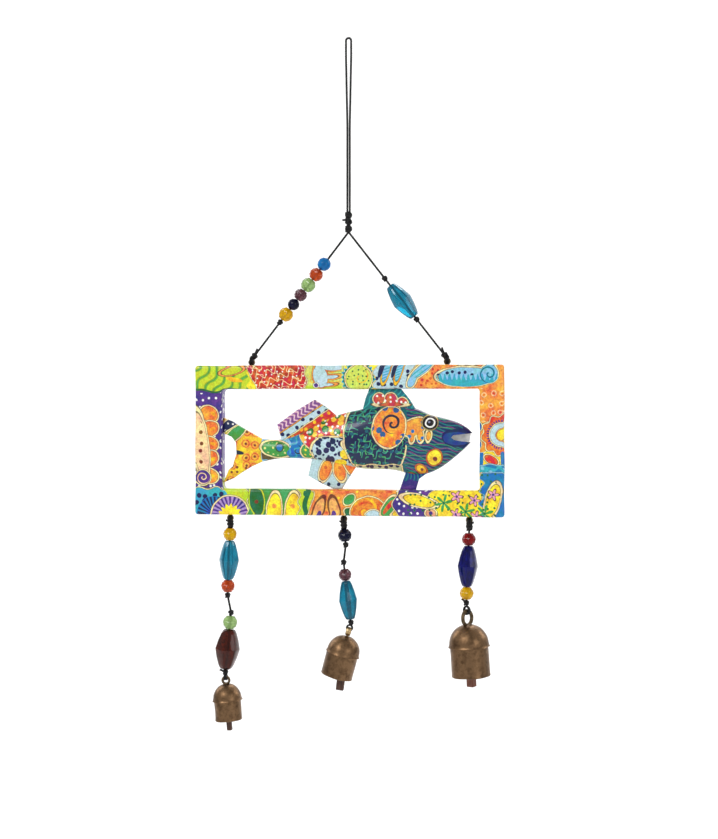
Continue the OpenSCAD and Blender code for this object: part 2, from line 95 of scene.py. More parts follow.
class Field:
    """A number that varies over a surface, made by a material's nodes."""

    def __init__(self, tree, socket):
        self.tree, self.socket = tree, socket

    def step(self, operation, *others, clamp=False):
        values = [v.socket if isinstance(v, Field) else v for v in (self, *others)]
        node = add_node(self.tree, "Math", dict(enumerate(values)), operation=operation,
                        use_clamp=clamp)
        return Field(self.tree, node.outputs[0])

    def __add__(self, other):
        return self.step("ADD", other)

    def __sub__(self, other):
        return self.step("SUBTRACT", other)

    def __mul__(self, other):
        return self.step("MULTIPLY", other)

    def __and__(self, other):
        return self.step("MAXIMUM", other)

    def __or__(self, other):
        return self.step("MINIMUM", other)

    def __invert__(self):
        return self.step("MULTIPLY", -1)

    def sine(self):
        return self.step("SINE")

    def bounce(self, height):
        return self.step("PINGPONG", height)


class Paint:
    """A painted wooden surface: coats of colour, one over another.

    Sizes are in millimetres from the frame's middle.
    """

    EDGE = 0.22

    def __init__(self, name, ground, wraps=False):
        self.material = bpy.data.materials.new(name)
        self.material.use_nodes = True
        self.tree = self.material.node_tree
        self.shader = self.tree.nodes["Principled BSDF"]
        place = add_node(self.tree, "TexCoord", {}).outputs["Object"]
        self.place = self.move(place, -BOARD, 1 / MM)
        x, y, z = self.split(self.place)
        if wraps:
            # the pattern turns over the edges of the board and on into its depth
            depth = (~y.step("ABSOLUTE") + 7).step("MAXIMUM", 0.0) * 0.8
            x, z = x - x.step("SIGN") * depth, z - z.step("SIGN") * depth
        flat = self.join(x, z)
        wobble = self.noise(flat, 0.12, 2).outputs["Color"]
        self.spot = self.nudge(flat, wobble, 1.6)
        self.x, _, self.z = self.split(self.spot)
        self.colour = add_node(self.tree, "RGB", {}).outputs[0]
        self.colour.default_value = ground
        self.lines = None

    # -- vectors

    def move(self, vector, shift, size):
        moved = self.reckon("ADD", {0: vector, 1: shift})
        return self.reckon("SCALE", {0: moved, "Scale": size})

    def reckon(self, operation, inputs, output=0):
        """A sum on vectors."""
        return add_node(self.tree, "VectorMath", inputs, operation=operation).outputs[output]

    def split(self, vector):
        return [Field(self.tree, s) for s in add_node(self.tree, "SeparateXYZ",
                                                      {0: vector}).outputs]

    def join(self, x, z):
        return add_node(self.tree, "CombineXYZ", {0: x.socket, 2: z.socket}).outputs[0]

    def nudge(self, vector, colour, far):
        """vector, moved by up to half of far by a noise's colour."""
        nudged = self.reckon("MULTIPLY_ADD", {0: colour, 1: (far, 0, far), 2: vector})
        return self.move(nudged, (-far / 2, 0, -far / 2), 1)

    def noise(self, vector, scale, detail):
        return add_node(self.tree, "TexNoise", {"Vector": vector, "Scale": scale, "Detail": detail})

    # -- shapes: below zero inside, in millimetres

    def disc(self, x, z, r):
        return Field(self.tree, self.reckon("DISTANCE", {0: self.spot, 1: (x, 0, z)}, "Value")) - r

    def oval(self, x, z, wide, high, turn=0):
        """An ellipse with these half sizes."""
        round_one = add_node(self.tree, "Mapping", {
            "Vector": self.spot, "Location": (x, 0, z), "Rotation": (0, math.radians(turn), 0),
            "Scale": (wide, 1, high)}, vector_type="TEXTURE")
        far = Field(self.tree, self.reckon("LENGTH", {0: round_one.outputs[0]}, "Value"))
        return (far - 1) * min(wide, high)

    def between(self, low, high, sway=0.0, pitch=9.0):
        """The stretch of x from low to high, with its edges swaying."""
        x = self.x + (self.z * (2 * math.pi / pitch)).sine() * sway if sway else self.x
        return (x - (low + high) / 2).step("ABSOLUTE") - (high - low) / 2

    def below(self, z, sway=0.0, pitch=12.0):
        rise = (self.x * (2 * math.pi / pitch)).sine() * sway if sway else None
        return (self.z - z - rise) if rise else self.z - z

    def slope(self, x, z, turn):
        """The half plane below a line through a point, turned from level."""
        a = math.radians(turn)
        return (self.z - z) * math.cos(a) - (self.x - x) * math.sin(a)

    def petals(self, x, z, r, number, depth):
        """A flower: a disc whose edge swells into petals."""
        dx, dz = self.x - x, self.z - z
        angle = dx.step("ARCTAN2", dz)
        swell = (angle * number).sine() * (depth * r)
        return self.disc(x, z, r) - swell

    # -- patterns

    def dots(self, pitch, r, jitter=0.6):
        flat = self.reckon("MULTIPLY", {0: self.spot, 1: (1, 0, 1)})
        level = add_node(self.tree, "Mapping", {"Vector": flat, "Rotation": (math.pi / 2, 0, 0)})
        cells = add_node(self.tree, "TexVoronoi", {
            "Vector": level.outputs[0], "Scale": 1 / pitch, "Randomness": jitter},
                         voronoi_dimensions="2D")
        return Field(self.tree, cells.outputs["Distance"]) * pitch - r

    def ringed_dots(self, pitch, r, thick, jitter=0.6):
        return self.dots(pitch, r, jitter).step("ABSOLUTE") - thick / 2

    def crackle(self, pitch, thick):
        cells = add_node(self.tree, "TexVoronoi", {"Vector": self.spot, "Scale": 1 / pitch},
                         feature="DISTANCE_TO_EDGE")
        return Field(self.tree, cells.outputs["Distance"]) * pitch - thick / 2

    def stripes(self, pitch, thick, turn=0, sway=0.0, length=10.0):
        """Bars across a direction; turn 0 makes them level."""
        a = math.radians(turn)
        across = self.z * math.cos(a) - self.x * math.sin(a)
        along = self.x * math.cos(a) + self.z * math.sin(a)
        if sway:
            across = across + (along * (2 * math.pi / length)).sine() * sway
        return across.bounce(pitch / 2) - thick / 2

    def rays(self, x, z, number, share=0.5):
        dx, dz = self.x - x, self.z - z
        angle = dx.step("ARCTAN2", dz) * (number / math.pi)
        return angle.bounce(1.0) * 2 - share * 2

    def rings(self, x, z, pitch, thick):
        return self.disc(x, z, 0).bounce(pitch / 2) - thick / 2

    def curl(self, x, z, pitch, thick):
        """A spiral line."""
        dx, dz = self.x - x, self.z - z
        turn = dx.step("ARCTAN2", dz) * (pitch / (2 * math.pi))
        return (self.disc(x, z, 0) + turn).bounce(pitch / 2) - thick / 2

    # -- coats

    def coat(self, shape, colour, line=None, width=0.55):
        """Paints a shape's inside and draws its outline, with painted shade in a thin band beside
        it.
        """
        self.colour = self.over(self.inside(shape), self.colour, colour)
        if line:
            edge = shape.step("ABSOLUTE") - width / 2
            # a thin dark umber band on each side of the outline: painted shade beside the raised
            # line
            self.colour = self.over(self.inside(edge - 0.24), self.colour, OUTLINE_SHADE)
            drawn = self.inside(edge)
            self.colour = self.over(drawn, self.colour, line)
            self.lines = drawn if self.lines is None else self.lines.step("MAXIMUM", drawn)

    def inside(self, shape):
        return shape.step("MULTIPLY_ADD", -1 / self.EDGE, 0.5, clamp=True)

    def over(self, mask, under, colour):
        mixed = add_node(self.tree, "MixRGB",
                         {"Fac": mask.socket, "Color1": under, "Color2": colour})
        return mixed.outputs["Color"]

    def varnish(self):
        """Brush marks and blots in the colour, raised lines, and a gloss varnish over all."""
        links = self.tree.links
        streak = Field(self.tree, self.noise(self.place, 0.8, 5).outputs["Fac"])
        blot = Field(self.tree, self.noise(self.place, 0.2, 3).outputs["Fac"])
        shade = add_node(self.tree, "HueSaturation", {
            "Color": self.colour, "Hue": (blot * 0.16 + 0.42).socket,
            "Value": (streak * 0.9 + blot * 0.5 + 0.3).socket})
        links.new(shade.outputs[0], self.shader.inputs["Base Color"])
        height = streak * 0.35
        if self.lines:
            height = height + self.lines
        bump = add_node(self.tree, "Bump", {
            "Strength": 0.5, "Distance": 0.15 * MM, "Height": height.socket})
        links.new(bump.outputs[0], self.shader.inputs["Normal"])
        for name, value in (("Roughness", 0.42), ("Specular IOR Level", 0.25),
                            ("Coat Weight", 0.35),
                            ("Coat Roughness", 0.1)):
            self.shader.inputs[name].default_value = value
        return self.material


SEAM = -4


def painted_frame():
    """The frame's paint, in two halves that meet at x = SEAM, each a run of patterned patches."""
    left = Paint("painted_frame_left", YELLOW, wraps=True)
    top, low = ~left.below(22), left.below(-22)
    paint_top_left(left, top)
    paint_left_stile(left, ~left.between(-74, 140))
    paint_bottom_left(left, low)
    paint_bottom_middle(left, low)
    right = Paint("painted_frame_right", YELLOW, wraps=True)
    top, low = ~right.below(22), right.below(-22)
    paint_top_middle(right, top)
    paint_top_right(right, top)
    paint_right_stile(right, ~right.between(-140, 75))
    paint_bottom_middle(right, low)
    paint_bottom_right(right, low)
    return left.varnish(), right.varnish()


def paint_top_left(p, top):
    """Green leaves in the corner, a red patch, and a pale cloud."""
    p.coat(top & p.between(-112, -70, 1.5), LIME)
    p.coat(top & p.between(-112, -70, 1.5) & p.stripes(6.5, 2.4, 58, 1.6, 16), OLIVE)
    p.coat(top & p.between(-112, -70, 1.5) & p.stripes(6.5, 0.7, 58, 1.6, 16), LEAF)
    p.coat(p.oval(-82, 48.5, 9, 3, -12), LIME, ORANGE, 0.6)
    p.coat(p.oval(-80, 42.5, 6, 1.6, 10), GOLD)
    red = top & ~p.slope(-72, 52, -62) & p.slope(-29, 44, -82)
    p.coat(red, RED, CREAM)
    p.coat(red & p.crackle(8, 1.0), rgb("ad2a1e"))
    p.coat(red & p.stripes(6, 0.75, 24, 2.2, 7.5), CREAM)
    p.coat(red & p.stripes(9, 0.6, -50, 1.5, 6), PEACH)
    p.coat(red & p.dots(4.6, 0.55), WHITE)
    p.coat(top & p.between(-29, -2, 1.2, 11), CITRON, CREAM)
    p.coat(top & p.between(-27, -3) & p.ringed_dots(4.2, 1.1, 0.5), GOLD)
    p.coat(top & p.between(-29, -2) & p.below(38.5, 0.6), LIME)
    cloud = p.oval(-19, 44.5, 5.4, 8.4, -12) | p.oval(-10, 50.5, 10, 2.4) | p.oval(-12, 44.2, 8,
                                                                                   1.7, -4)
    p.coat(cloud | p.oval(-14, 38.8, 6.5, 1.5, -6), MIST, ORANGE, 0.6)
    p.coat(p.disc(-22, 38.6, 1.8), PURPLE, WHITE, 0.5)


def paint_top_middle(p, top):
    """A ringed flower, and blue leaves on a pale ground."""
    p.coat(top & p.between(-9, -2), CITRON, CREAM)
    p.coat(p.petals(8, 43, 11.6, 24, 0.07), TURQUOISE)
    p.coat(p.petals(8, 43, 10.6, 24, 0.05), FOREST)
    p.coat(p.disc(8, 43, 9.6), rgb("cfdc5a"), CREAM, 0.7)
    p.coat(p.disc(8, 43, 8.6) & p.dots(3.3, 0.6), FOREST)
    p.coat(p.disc(9, 44, 6) & p.curl(9, 44, 7, 0.6), GOLD)
    p.coat(top & p.between(19, 46, 1.5), MIST, CREAM)
    p.coat(top & p.between(20, 45) & p.dots(5.0, 1.35), NAVY)
    for x in (27, 36):
        p.coat(p.oval(x, 48, 2.5, 9, 16), SKY, GOLD, 0.6)
        p.coat(p.oval(x - 3.4, 49, 1.6, 6, 16), NAVY)
        p.coat(p.oval(x, 48, 1.7, 8, 16) & p.stripes(1.7, 0.7, 20), TURQUOISE)


def paint_top_right(p, top):
    """A blue leaf and a sea with waves on an orange ground."""
    p.coat(top & p.between(46, 110, 1.6), ORANGE, CREAM)
    p.coat(top & p.between(47, 65) & p.dots(3.6, 0.9), RUST)
    p.coat(p.oval(52, 49, 3.4, 12, 50) | p.oval(45, 41, 3, 6, 30), SKY, CREAM, 0.8)
    p.coat(p.oval(52, 49, 2.2, 10, 50) & p.stripes(2.6, 0.8, 40), TURQUOISE)
    sea = p.oval(82, 44, 20.5, 7) | p.disc(98, 46, 6.6)
    p.coat(sea, SKY, CREAM, 0.8)
    p.coat(sea & p.below(43.8, 2.2, 3.2), TURQUOISE)
    p.coat(sea & p.between(62, 91) & ~p.below(45) & p.dots(4.8, 1.15), NAVY)
    p.coat(p.disc(98, 46, 6.4) & p.curl(98, 46, 4.4, 1.5), TURQUOISE)
    p.coat(p.disc(98, 46, 6.4) & p.curl(98, 46, 4.4, 0.5), NAVY)


def paint_right_stile(p, right):
    """Downwards: spots on orange, a rayed sun, and a crackled blue foot."""
    spotted = right & p.below(36) & ~p.below(13)
    p.coat(right & p.below(37) & ~p.below(12.5, 1.2), rgb("f09a3e"))
    p.coat(spotted & p.ringed_dots(6.6, 1.5, 0.6, 0.4), PEACH)
    p.coat(spotted & p.dots(6.6, 0.6, 0.4), RUST)
    p.coat(right & p.below(12.5, 1.2) & ~p.below(-7, 1.2), rgb("ec8a34"), CREAM)
    p.coat(p.oval(90.5, 9, 2.6, 3.6, 20), COBALT, CREAM, 0.6)
    p.coat(p.oval(90.5, -2, 2.4, 3.0, -20), COBALT, CREAM, 0.6)
    p.coat(p.petals(106.5, 4, 13.4, 10, 0.08), FLAME, CREAM, 0.7)
    p.coat(p.disc(106.5, 4, 10.2) & p.rays(106.5, 4, 34, 0.5), PURPLE)
    p.coat(p.disc(106.5, 4, 8.2), MIST, CREAM)
    p.coat(p.disc(107, 4, 4.2), YELLOW, ORANGE, 0.5)
    p.coat(p.oval(99.5, -13, 5.6, 3.2, 30), FLAME, CREAM)
    p.coat(right & p.below(-7, 1.2) & ~p.between(94, 106) & ~p.below(-40), COBALT)
    p.coat(right & p.below(-16.5, 0.6) & ~p.below(-40), COBALT, SKY, 0.7)
    p.coat(right & p.below(-17.5) & p.crackle(6.0, 0.9), TURQUOISE)
    p.coat(right & p.below(-17.5) & p.dots(9, 1.3), SKY)


def paint_left_stile(p, left):
    """Downwards: white dots on purple, orange scallops, a curl, and a dotted foot."""
    p.coat(left & p.below(34.5, 1.0, 22) & ~p.below(-34), PURPLE, FOREST, 1.0)
    p.coat(left & p.below(33) & p.dots(5.0, 0.85), WHITE)
    for z, lean in ((18.5, 30), (8, -20), (-2.5, 20), (-13, -25), (-25, 15)):
        p.coat(p.oval(-98, z, 7.0, 5.6, lean), rgb("ee8a34"), CREAM, 0.7)
        p.coat(p.oval(-95.5, z, 1.9, 1.2, lean), GOLD)
    p.coat(p.oval(-104, -4, 5.8, 26, -7), PEACH, CREAM, 0.8)
    p.coat(p.oval(-104, -4, 4, 22, -7) & p.dots(7.0, 1.35, 0.35), BROWN)
    p.coat(p.disc(-102.5, -26, 5.6), PURPLE, CREAM, 0.6)
    p.coat(p.disc(-102.5, -26, 4.8) & p.curl(-102.5, -26, 3, 0.7), PEACH)
    p.coat(left & p.below(-33.5, 0.8), TURQUOISE, CREAM)
    p.coat(left & p.below(-35) & p.dots(6, 1.7), NAVY)


def paint_bottom_left(p, low):
    """Rays, a lilac flower, and green and yellow leaves."""
    p.coat(low & p.disc(-94, -52, 13), COBALT)
    p.coat(low & p.disc(-94, -52, 12.6) & p.rays(-94, -52, 26, 0.5), NAVY)
    p.coat(low & p.between(-86, -70, 1.0), LIME)
    p.coat(p.disc(-83, -52, 13.4), LILAC, CREAM, 0.9)
    p.coat(p.disc(-83, -52, 12.8) & p.rays(-83, -52, 24, 0.5), PURPLE)
    p.coat(p.petals(-83, -53, 7.6, 14, 0.14), YELLOW)
    p.coat(low & p.between(-70, -33, 0.8), LEAF, CREAM)
    p.coat(p.oval(-64, -42, 5.5, 11, -8), FOREST, LIME, 0.8)
    p.coat(p.disc(-64, -43, 1.4), BROWN)
    for x in (-51.5, -38.5):
        p.coat(p.oval(x, -50, 5.6, 14.5, 4), YELLOW, CREAM, 0.8)
        p.coat(p.disc(x, -46, 1.7), ORANGE)
    p.coat(low & p.between(-34, -24, 1.0), LIME, CREAM)
    p.coat(low & p.between(-30, -26.6, 1.6, 26), FOREST)
    p.coat(p.disc(-29, -37, 2.2), FOREST)


def paint_bottom_middle(p, low):
    """The orange ground that both halves share."""
    p.coat(low & p.between(-25.5, 33, 2.0, 30), rgb("ee9440"), CREAM)
    p.coat(low & p.between(-25, 33) & p.dots(5.5, 1.3), rgb("e67c34"))
    p.coat(low & p.between(-24, 8) & p.dots(6.5, 0.8), YELLOW)
    for x, lean in ((-20, 20), (-9, -12)):
        p.coat(p.oval(x, -48, 3.8, 9.5, lean), rgb("e9a45c"), BROWN, 0.6)
        p.coat(p.oval(x, -52, 1.6, 3.4, lean), PURPLE)


def paint_bottom_right(p, low):
    """A ringed sun, leaves, a purple patch, and yellow ground with small flowers."""
    p.coat(p.oval(1.5, -41, 3.4, 5, 50), LEAF, CREAM)
    p.coat(p.oval(2, -50, 3.0, 4.6, 110), FOREST, CREAM)
    p.coat(p.disc(15, -52, 13.4), rgb("e7892f"), CREAM, 0.8)
    p.coat(p.disc(15, -52, 12.2) & p.rings(13, -52, 4.6, 1.8), rgb("dd6426"))
    p.coat(p.disc(13, -50, 10) & p.curl(13, -49, 9, 1.6), GOLD)
    p.coat(p.disc(18, -54, 6.2), MIST, CREAM, 0.8)
    p.coat(p.oval(29, -46, 4.2, 9.4, 34), LEAF, CREAM, 0.8)
    p.coat(p.oval(28.5, -46, 1.6, 6, 34), RUST)
    p.coat(low & p.between(33, 58, 2.2, 16), PURPLE, CREAM)
    p.coat(low & p.between(34, 57) & p.dots(4.8, 0.85), WHITE)
    p.coat(low & p.between(58, 95, 1.8, 14), YELLOW, CREAM)
    p.coat(p.oval(50, -41.5, 13, 4.4, 14), YELLOW, CREAM, 0.9)
    p.coat(p.oval(58, -50, 4.2, 3.2), rgb("e3a07a"), CREAM, 0.6)
    p.coat(p.disc(58, -50, 1.4), PURPLE)
    p.coat(low & p.between(93, 112, 2.0), COBALT, SKY)
    p.coat(p.oval(100.5, -41, 5.2, 13, 14), YELLOW, CREAM, 0.9)
    bloom = low & p.between(41, 103)
    p.coat(bloom & p.dots(4.6, 0.75), FOREST)
    for x, z in ((67, -43), (82, -49), (95, -50)):
        p.coat(p.petals(x, z, 3.6, 6, 0.75), LEAF)
        p.coat(p.disc(x, z, 0.8), FOREST)
    for x, z in ((76, -38.5), (75, -50.5), (88, -41), (101, -37), (89, -52)):
        p.coat(p.petals(x, z, 2.9, 5, 0.45), PINK, BROWN, 0.4)
        p.coat(p.disc(x, z, 0.9), PURPLE)


def painted_fish():
    """The fish's body: a green root, a red and pale flank, a dark back and a striped head."""
    p = Paint("painted_fish", TEAL)
    p.head = ~p.between(-120, 41, 1.0, 20)
    paint_flank(p)
    paint_back(p)
    paint_head(p)
    return p.varnish()


def paint_flank(p):
    """The root of the tail, and the red and the pale patches."""
    p.coat(p.between(-95, -28), SKY)
    p.coat(p.below(-9, 1.4, 9) & p.between(-61, -28), rgb("5d4a2a"))
    p.coat(p.oval(-50.5, -6, 11.5, 6.0, 9), LEAF, CREAM, 0.9)
    p.coat(p.oval(-50.5, -6, 9.5, 4.4, 9) & p.dots(4.2, 0.75), rgb("e9e58a"))
    p.coat(p.disc(-48, -5, 2.7), COBALT, FOREST, 0.6)
    p.coat(p.between(-41, -25, 1.8, 12), COBALT)
    p.coat(p.between(-41, -26) & p.stripes(5.0, 1.3, 55, 1.6, 8), TURQUOISE)
    p.coat(p.disc(-35.5, -7, 4) & p.curl(-35.5, -7, 4.4, 0.8), INK)
    p.coat(p.oval(-27, -7, 6.4, 5.2, -40), LEAF, CREAM, 0.8)
    p.coat(p.oval(-27, -7, 4.6, 3.6, -40) & p.dots(3, 0.8), YELLOW)
    red = p.oval(-17, 7, 19, 15.5, 30) | p.oval(-9, 13, 10, 11, -20)
    p.coat(red, RED, CREAM, 0.7)
    p.coat(red & p.dots(6.6, 2.0, 0.85), rgb("f2c23c"))
    p.coat(red & p.dots(9.2, 2.6, 0.55), FOREST)
    p.coat(red & p.dots(9.2, 1.6, 0.55), LEAF)
    p.coat(red & p.dots(4.4, 0.85, 0.9), WHITE)
    pale = p.oval(-6, -10, 20, 12, 16)
    p.coat(pale, MIST, CREAM, 1.0)
    p.coat(pale & p.dots(5.6, 2.1, 0.75), NAVY)
    p.coat(pale & p.dots(3.9, 0.9, 1.0), NAVY)
    p.coat(p.disc(-1, -9.5, 3.6) | p.oval(-5, -15.5, 4.6, 2.4), YELLOW)
    p.coat(p.oval(4, -4, 7.5, 4.0, 20), MIST, CREAM, 0.9)
    p.coat(p.oval(4, -4, 6.2, 2.8, 20) & p.dots(3.6, 1.2, 0.6), NAVY)


def paint_back(p):
    """The dark body with its green strokes, and the belly."""
    dark = p.oval(20, 3, 22, 30, -4)
    p.coat(dark, rgb("0d2148"), CREAM, 1.0)
    p.coat(dark & p.stripes(4.6, 0.9, 28, 1.8, 9) & p.dots(8, 4.0, 0.9), rgb("2f9a78"))
    p.coat(dark & p.stripes(5.4, 0.8, -48, 1.6, 7) & p.dots(7, 3.4, 1.0), rgb("4fae6a"))
    p.coat(dark & p.dots(6.5, 1.2, 1.0), TEAL)
    p.coat(dark & ~p.below(17) & p.stripes(3.4, 0.9, 24, 0.9, 12), rgb("2a8f86"))
    belly = p.below(-17.0, 0.6, 14) & p.between(6, 38)
    p.coat(belly, rgb("b5c39a"), CREAM, 0.8)
    p.coat(belly & p.dots(4.2, 1.4, 0.5), NAVY)


def paint_head(p):
    """The striped head, the saddle behind it with its fingers, the cheek, eye ring, and lips with a
    painted highlight.
    """
    p.coat(p.head, rgb("12355e"))
    p.coat(p.head & p.stripes(2.3, 0.75, -14, 0.6, 15), LAGOON)
    p.coat(p.head & p.stripes(3.7, 0.6, -11, 0.7, 12), rgb("7a3f78"))
    p.coat(p.head & p.stripes(5.9, 0.45, -13, 0.7, 18), rgb("3f9a5a"))
    fingers = p.oval(47, 9.5, 9.5, 6.0, -24) | p.oval(45.2, 3, 2.3, 5.0) | p.oval(51, 3.4, 2.4, 5.0)
    p.coat(fingers | p.oval(56.6, 3.4, 2.0, 4.2, 8), rgb("ec9f3c"), CREAM, 0.8)
    p.coat(fingers & p.dots(6, 1.2, 0.9), COBALT)
    saddle = p.oval(29.5, 9.3, 11.6, 14.4, 8)
    p.coat(saddle, APRICOT, CREAM, 0.9)
    p.coat(saddle & p.dots(8.0, 2.1, 0.9), rgb("2b5a92"))
    p.coat(saddle & p.dots(5.2, 0.9, 0.9), GOLD)
    p.coat(p.disc(32, 12, 7.2), APRICOT)
    p.coat(p.disc(32, 12, 7.2) & p.curl(32, 12, 5.2, 1.7), rgb("23233a"))
    p.coat(p.disc(57.5, 12.7, 5.4), INK, rgb("c8b878"), 0.6)
    p.coat(p.oval(60.6, -11.5, 5.2, 6.0, 30), YELLOW, BRICK, 0.6)
    p.coat(p.disc(61, -12.5, 1.6), BROWN)
    p.coat(p.oval(51.5, -19.8, 4.4, 3.0, 30), GOLD, BRICK, 0.6)
    p.coat(p.oval(44, -25, 3.6, 2.6, 10), YELLOW, BRICK, 0.5)
    for x, z in ((52, -20), (44.5, -25)):
        p.coat(p.disc(x, z, 1.0), BROWN)
    p.coat(p.oval(77, 1.8, 11.5, 6.4, 4) | ~p.between(-120, 80), rgb("0d1f55"))
    # a lighter blue inside the navy lips: a painted highlight
    p.coat(p.oval(76, 1.4, 9.5, 4.6, 4), rgb("123f86"))


def painted_tail():
    """The tail: yellow with orange rings, and a green and dark upper tip."""
    p = Paint("painted_tail", rgb("f0c62a"))
    p.coat(p.dots(8.4, 3.4, 0.5), rgb("f0b03c"))
    p.coat(p.ringed_dots(8.4, 2.5, 0.7, 0.5), rgb("e0702c"))
    p.coat(p.dots(8.4, 0.9, 0.5), BROWN)
    p.coat(p.below(-18) & p.dots(4.4, 0.9, 0.5), BROWN)
    p.coat(p.oval(-80, 4.6, 10, 4.2, -42), LEAF, CREAM, 0.7)
    p.coat(p.oval(-83, 12.6, 14, 3.4, -38), NAVY, CREAM, 0.6)
    p.coat(p.oval(-83, 12.6, 12, 2.2, -38) & p.dots(4, 0.7), WHITE)
    p.coat(p.oval(-80.5, -8.5, 6.5, 1.6, 8), rgb("1f2c3f"))
    p.coat(~p.between(-95, -61), SKY)
    p.coat(p.oval(-50.5, -6, 11.5, 6.0, 9), LEAF, CREAM, 0.9)
    return p.varnish()


def painted_front_dorsal():
    """Teal, with a red scalloped crest."""
    p = Paint("painted_front_dorsal", rgb("12707c"))
    p.coat(p.stripes(3.2, 0.8, 62, 0.6, 9), rgb("2aa39a"))
    crest = p.disc(21.5, 29, 4.2) | p.disc(30, 28.6, 4.6) | p.disc(38, 26, 4.0)
    p.coat((crest & ~p.below(25.5)) | p.oval(30, 25, 11, 1.8), rgb("c93a3a"), CREAM, 0.7)
    p.coat(crest & p.dots(4, 0.8), WHITE)
    return p.varnish()


def painted_rear_dorsal():
    """Mauve zigzags over a pale band with dark spots."""
    p = Paint("painted_rear_dorsal", rgb("7d4a8c"))
    p.coat(p.stripes(3.4, 1.7, -52, 0.9, 4.5), rgb("c58aa8"))
    p.coat(p.stripes(3.4, 0.5, -52, 0.9, 4.5), rgb("efe0e6"))
    band = p.slope(-40, 10.5, 34)
    p.coat(band, MIST, rgb("e7a03a"), 0.7)
    p.coat(band & p.dots(5.4, 1.4, 0.4), NAVY)
    p.coat(p.slope(-40, 4.0, 34), RED, CREAM, 0.7)
    p.coat(p.slope(-40, 4.0, 34) & p.dots(5, 1.2, 0.6), GOLD)
    return p.varnish()


def painted_pelvic():
    """Deep blue that turns purple below, with fine stripes."""
    p = Paint("painted_pelvic", rgb("14407a"))
    p.coat(p.stripes(2.4, 0.8, 78, 0.5, 9), LAGOON)
    p.coat(p.below(-27.5, 0.8, 7), rgb("35277a"))
    p.coat(p.below(-31.5, 0.6, 7), PURPLE)
    return p.varnish()


def painted_anal():
    """Pale blue with orange lobes and dark spots."""
    p = Paint("painted_anal", MIST)
    for x, z, lean in ((-16, -21, 20), (-6, -21, -16), (2, -18, -30)):
        p.coat(p.oval(x, z, 4.4, 8.4, lean), rgb("ee8c36"), CREAM, 0.8)
        p.coat(p.disc(x, z + 2, 1.3), RUST)
    p.coat(p.below(-24) & p.dots(7, 1.3, 0.4), NAVY)
    return p.varnish()


def paint_eye():
    """A glossy eye: black, a white ring and a dark pupil with a painted highlight."""
    p = Paint("painted_eye", INK)
    p.coat(p.disc(57.8, 12.5, 3.5), WHITE)
    p.coat(p.disc(57.8, 12.5, 2.5), INK)
    # a small grey-blue spot above and behind the pupil's middle: a painted highlight
    p.coat(p.disc(57.2, 13.1, 0.8), rgb("7f86a0"))
    return p.varnish()


# ---------------------------------------------------------------- plain finishes

def finish(name, colour, roughness, metallic=0.0):
    """A material with one shader, and its colour and surface still plain."""
    material = bpy.data.materials.new(name)
    material.use_nodes = True
    shader = material.node_tree.nodes["Principled BSDF"]
    shader.inputs["Base Color"].default_value = colour
    shader.inputs["Roughness"].default_value = roughness
    shader.inputs["Metallic"].default_value = metallic
    return material


def mottle(material, colours, scale, bump, stretch=(1, 1, 1), detail=6, rough=None):
    """Varies a material's colour through some shades, and gives it an uneven surface."""
    tree = material.node_tree
    shader = tree.nodes["Principled BSDF"]
    place = add_node(tree, "TexCoord", {}).outputs["Object"]
    drawn = add_node(tree, "Mapping", {"Vector": place, "Scale": stretch}).outputs[0]
    cloud = add_node(tree, "TexNoise", {
        "Vector": drawn, "Scale": scale, "Detail": detail, "Roughness": 0.62}).outputs["Fac"]
    ramp = add_node(tree, "ValToRGB", {"Fac": cloud})
    first, last = 0.3, 0.7
    ramp.color_ramp.elements[0].position, ramp.color_ramp.elements[0].color = first, colours[0]
    ramp.color_ramp.elements[1].position, ramp.color_ramp.elements[1].color = last, colours[-1]
    for i, colour in enumerate(colours[1:-1], 1):
        ramp.color_ramp.elements.new(first + (last - first) * i / (len(colours) - 1)).color = colour
    tree.links.new(ramp.outputs["Color"], shader.inputs["Base Color"])
    if rough:
        spread = add_node(tree, "MapRange", {
            "Value": cloud, "From Min": first, "From Max": last, "To Min": rough[0],
            "To Max": rough[1]})
        tree.links.new(spread.outputs["Result"], shader.inputs["Roughness"])
    fine = add_node(tree, "TexNoise", {"Vector": drawn, "Scale": scale * 6, "Detail": 3})
    relief = add_node(tree, "Bump", {"Strength": 0.6, "Distance": bump,
                                     "Height": fine.outputs["Fac"]})
    tree.links.new(relief.outputs[0], shader.inputs["Normal"])
    return material


def glass(name, code, clear=0.75, deep=None):
    """Coloured glass, a little cloudy, with streaks of a deeper shade."""
    material = finish(name, rgb(code), 0.06)
    shader = material.node_tree.nodes["Principled BSDF"]
    mottle(material, [rgb(deep or code), rgb(code)], 260, 0.02 * MM, detail=3)
    shader.inputs["Transmission Weight"].default_value = clear
    shader.inputs["IOR"].default_value = 1.45
    shader.inputs["Specular IOR Level"].default_value = 0.12
    return material


waxed = mottle(finish("waxed_cord", INK, 0.5), [rgb("030304"), rgb("100f12")], 900, 0.06 * MM)
waxed.node_tree.nodes["Principled BSDF"].inputs["Specular IOR Level"].default_value = 0.3
brass = mottle(finish("brass_wire", GOLD, 0.35, 1.0), [rgb("4f4230"), rgb("8f7d5c")], 700,
               0.02 * MM)
bell_metal = mottle(
    finish("brazed_bell", GOLD, 0.4, 1.0),
    [rgb("57422f"), rgb("6a523b"), rgb("7f6348"), rgb("6f573f")], 260, 0.08 * MM,
    rough=(0.46, 0.36))
hanger_metal = mottle(
    finish("brazed_hanger", GOLD, 0.5, 0.8), [rgb("3e3226"), rgb("5e4e3a"), rgb("7c684c")], 420,
    0.05 * MM)
strap_metal = mottle(
    finish("bright_strap", GOLD, 0.36, 1.0), [rgb("8a7150"), rgb("b99c70"), rgb("dcc596")], 420,
    0.05 * MM)
dark_wood = mottle(
    finish("dark_wood", BROWN, 0.6), [rgb("24130d"), rgb("46281a"), rgb("5d3824")], 220, 0.2 * MM,
    (6, 6, 0.5))
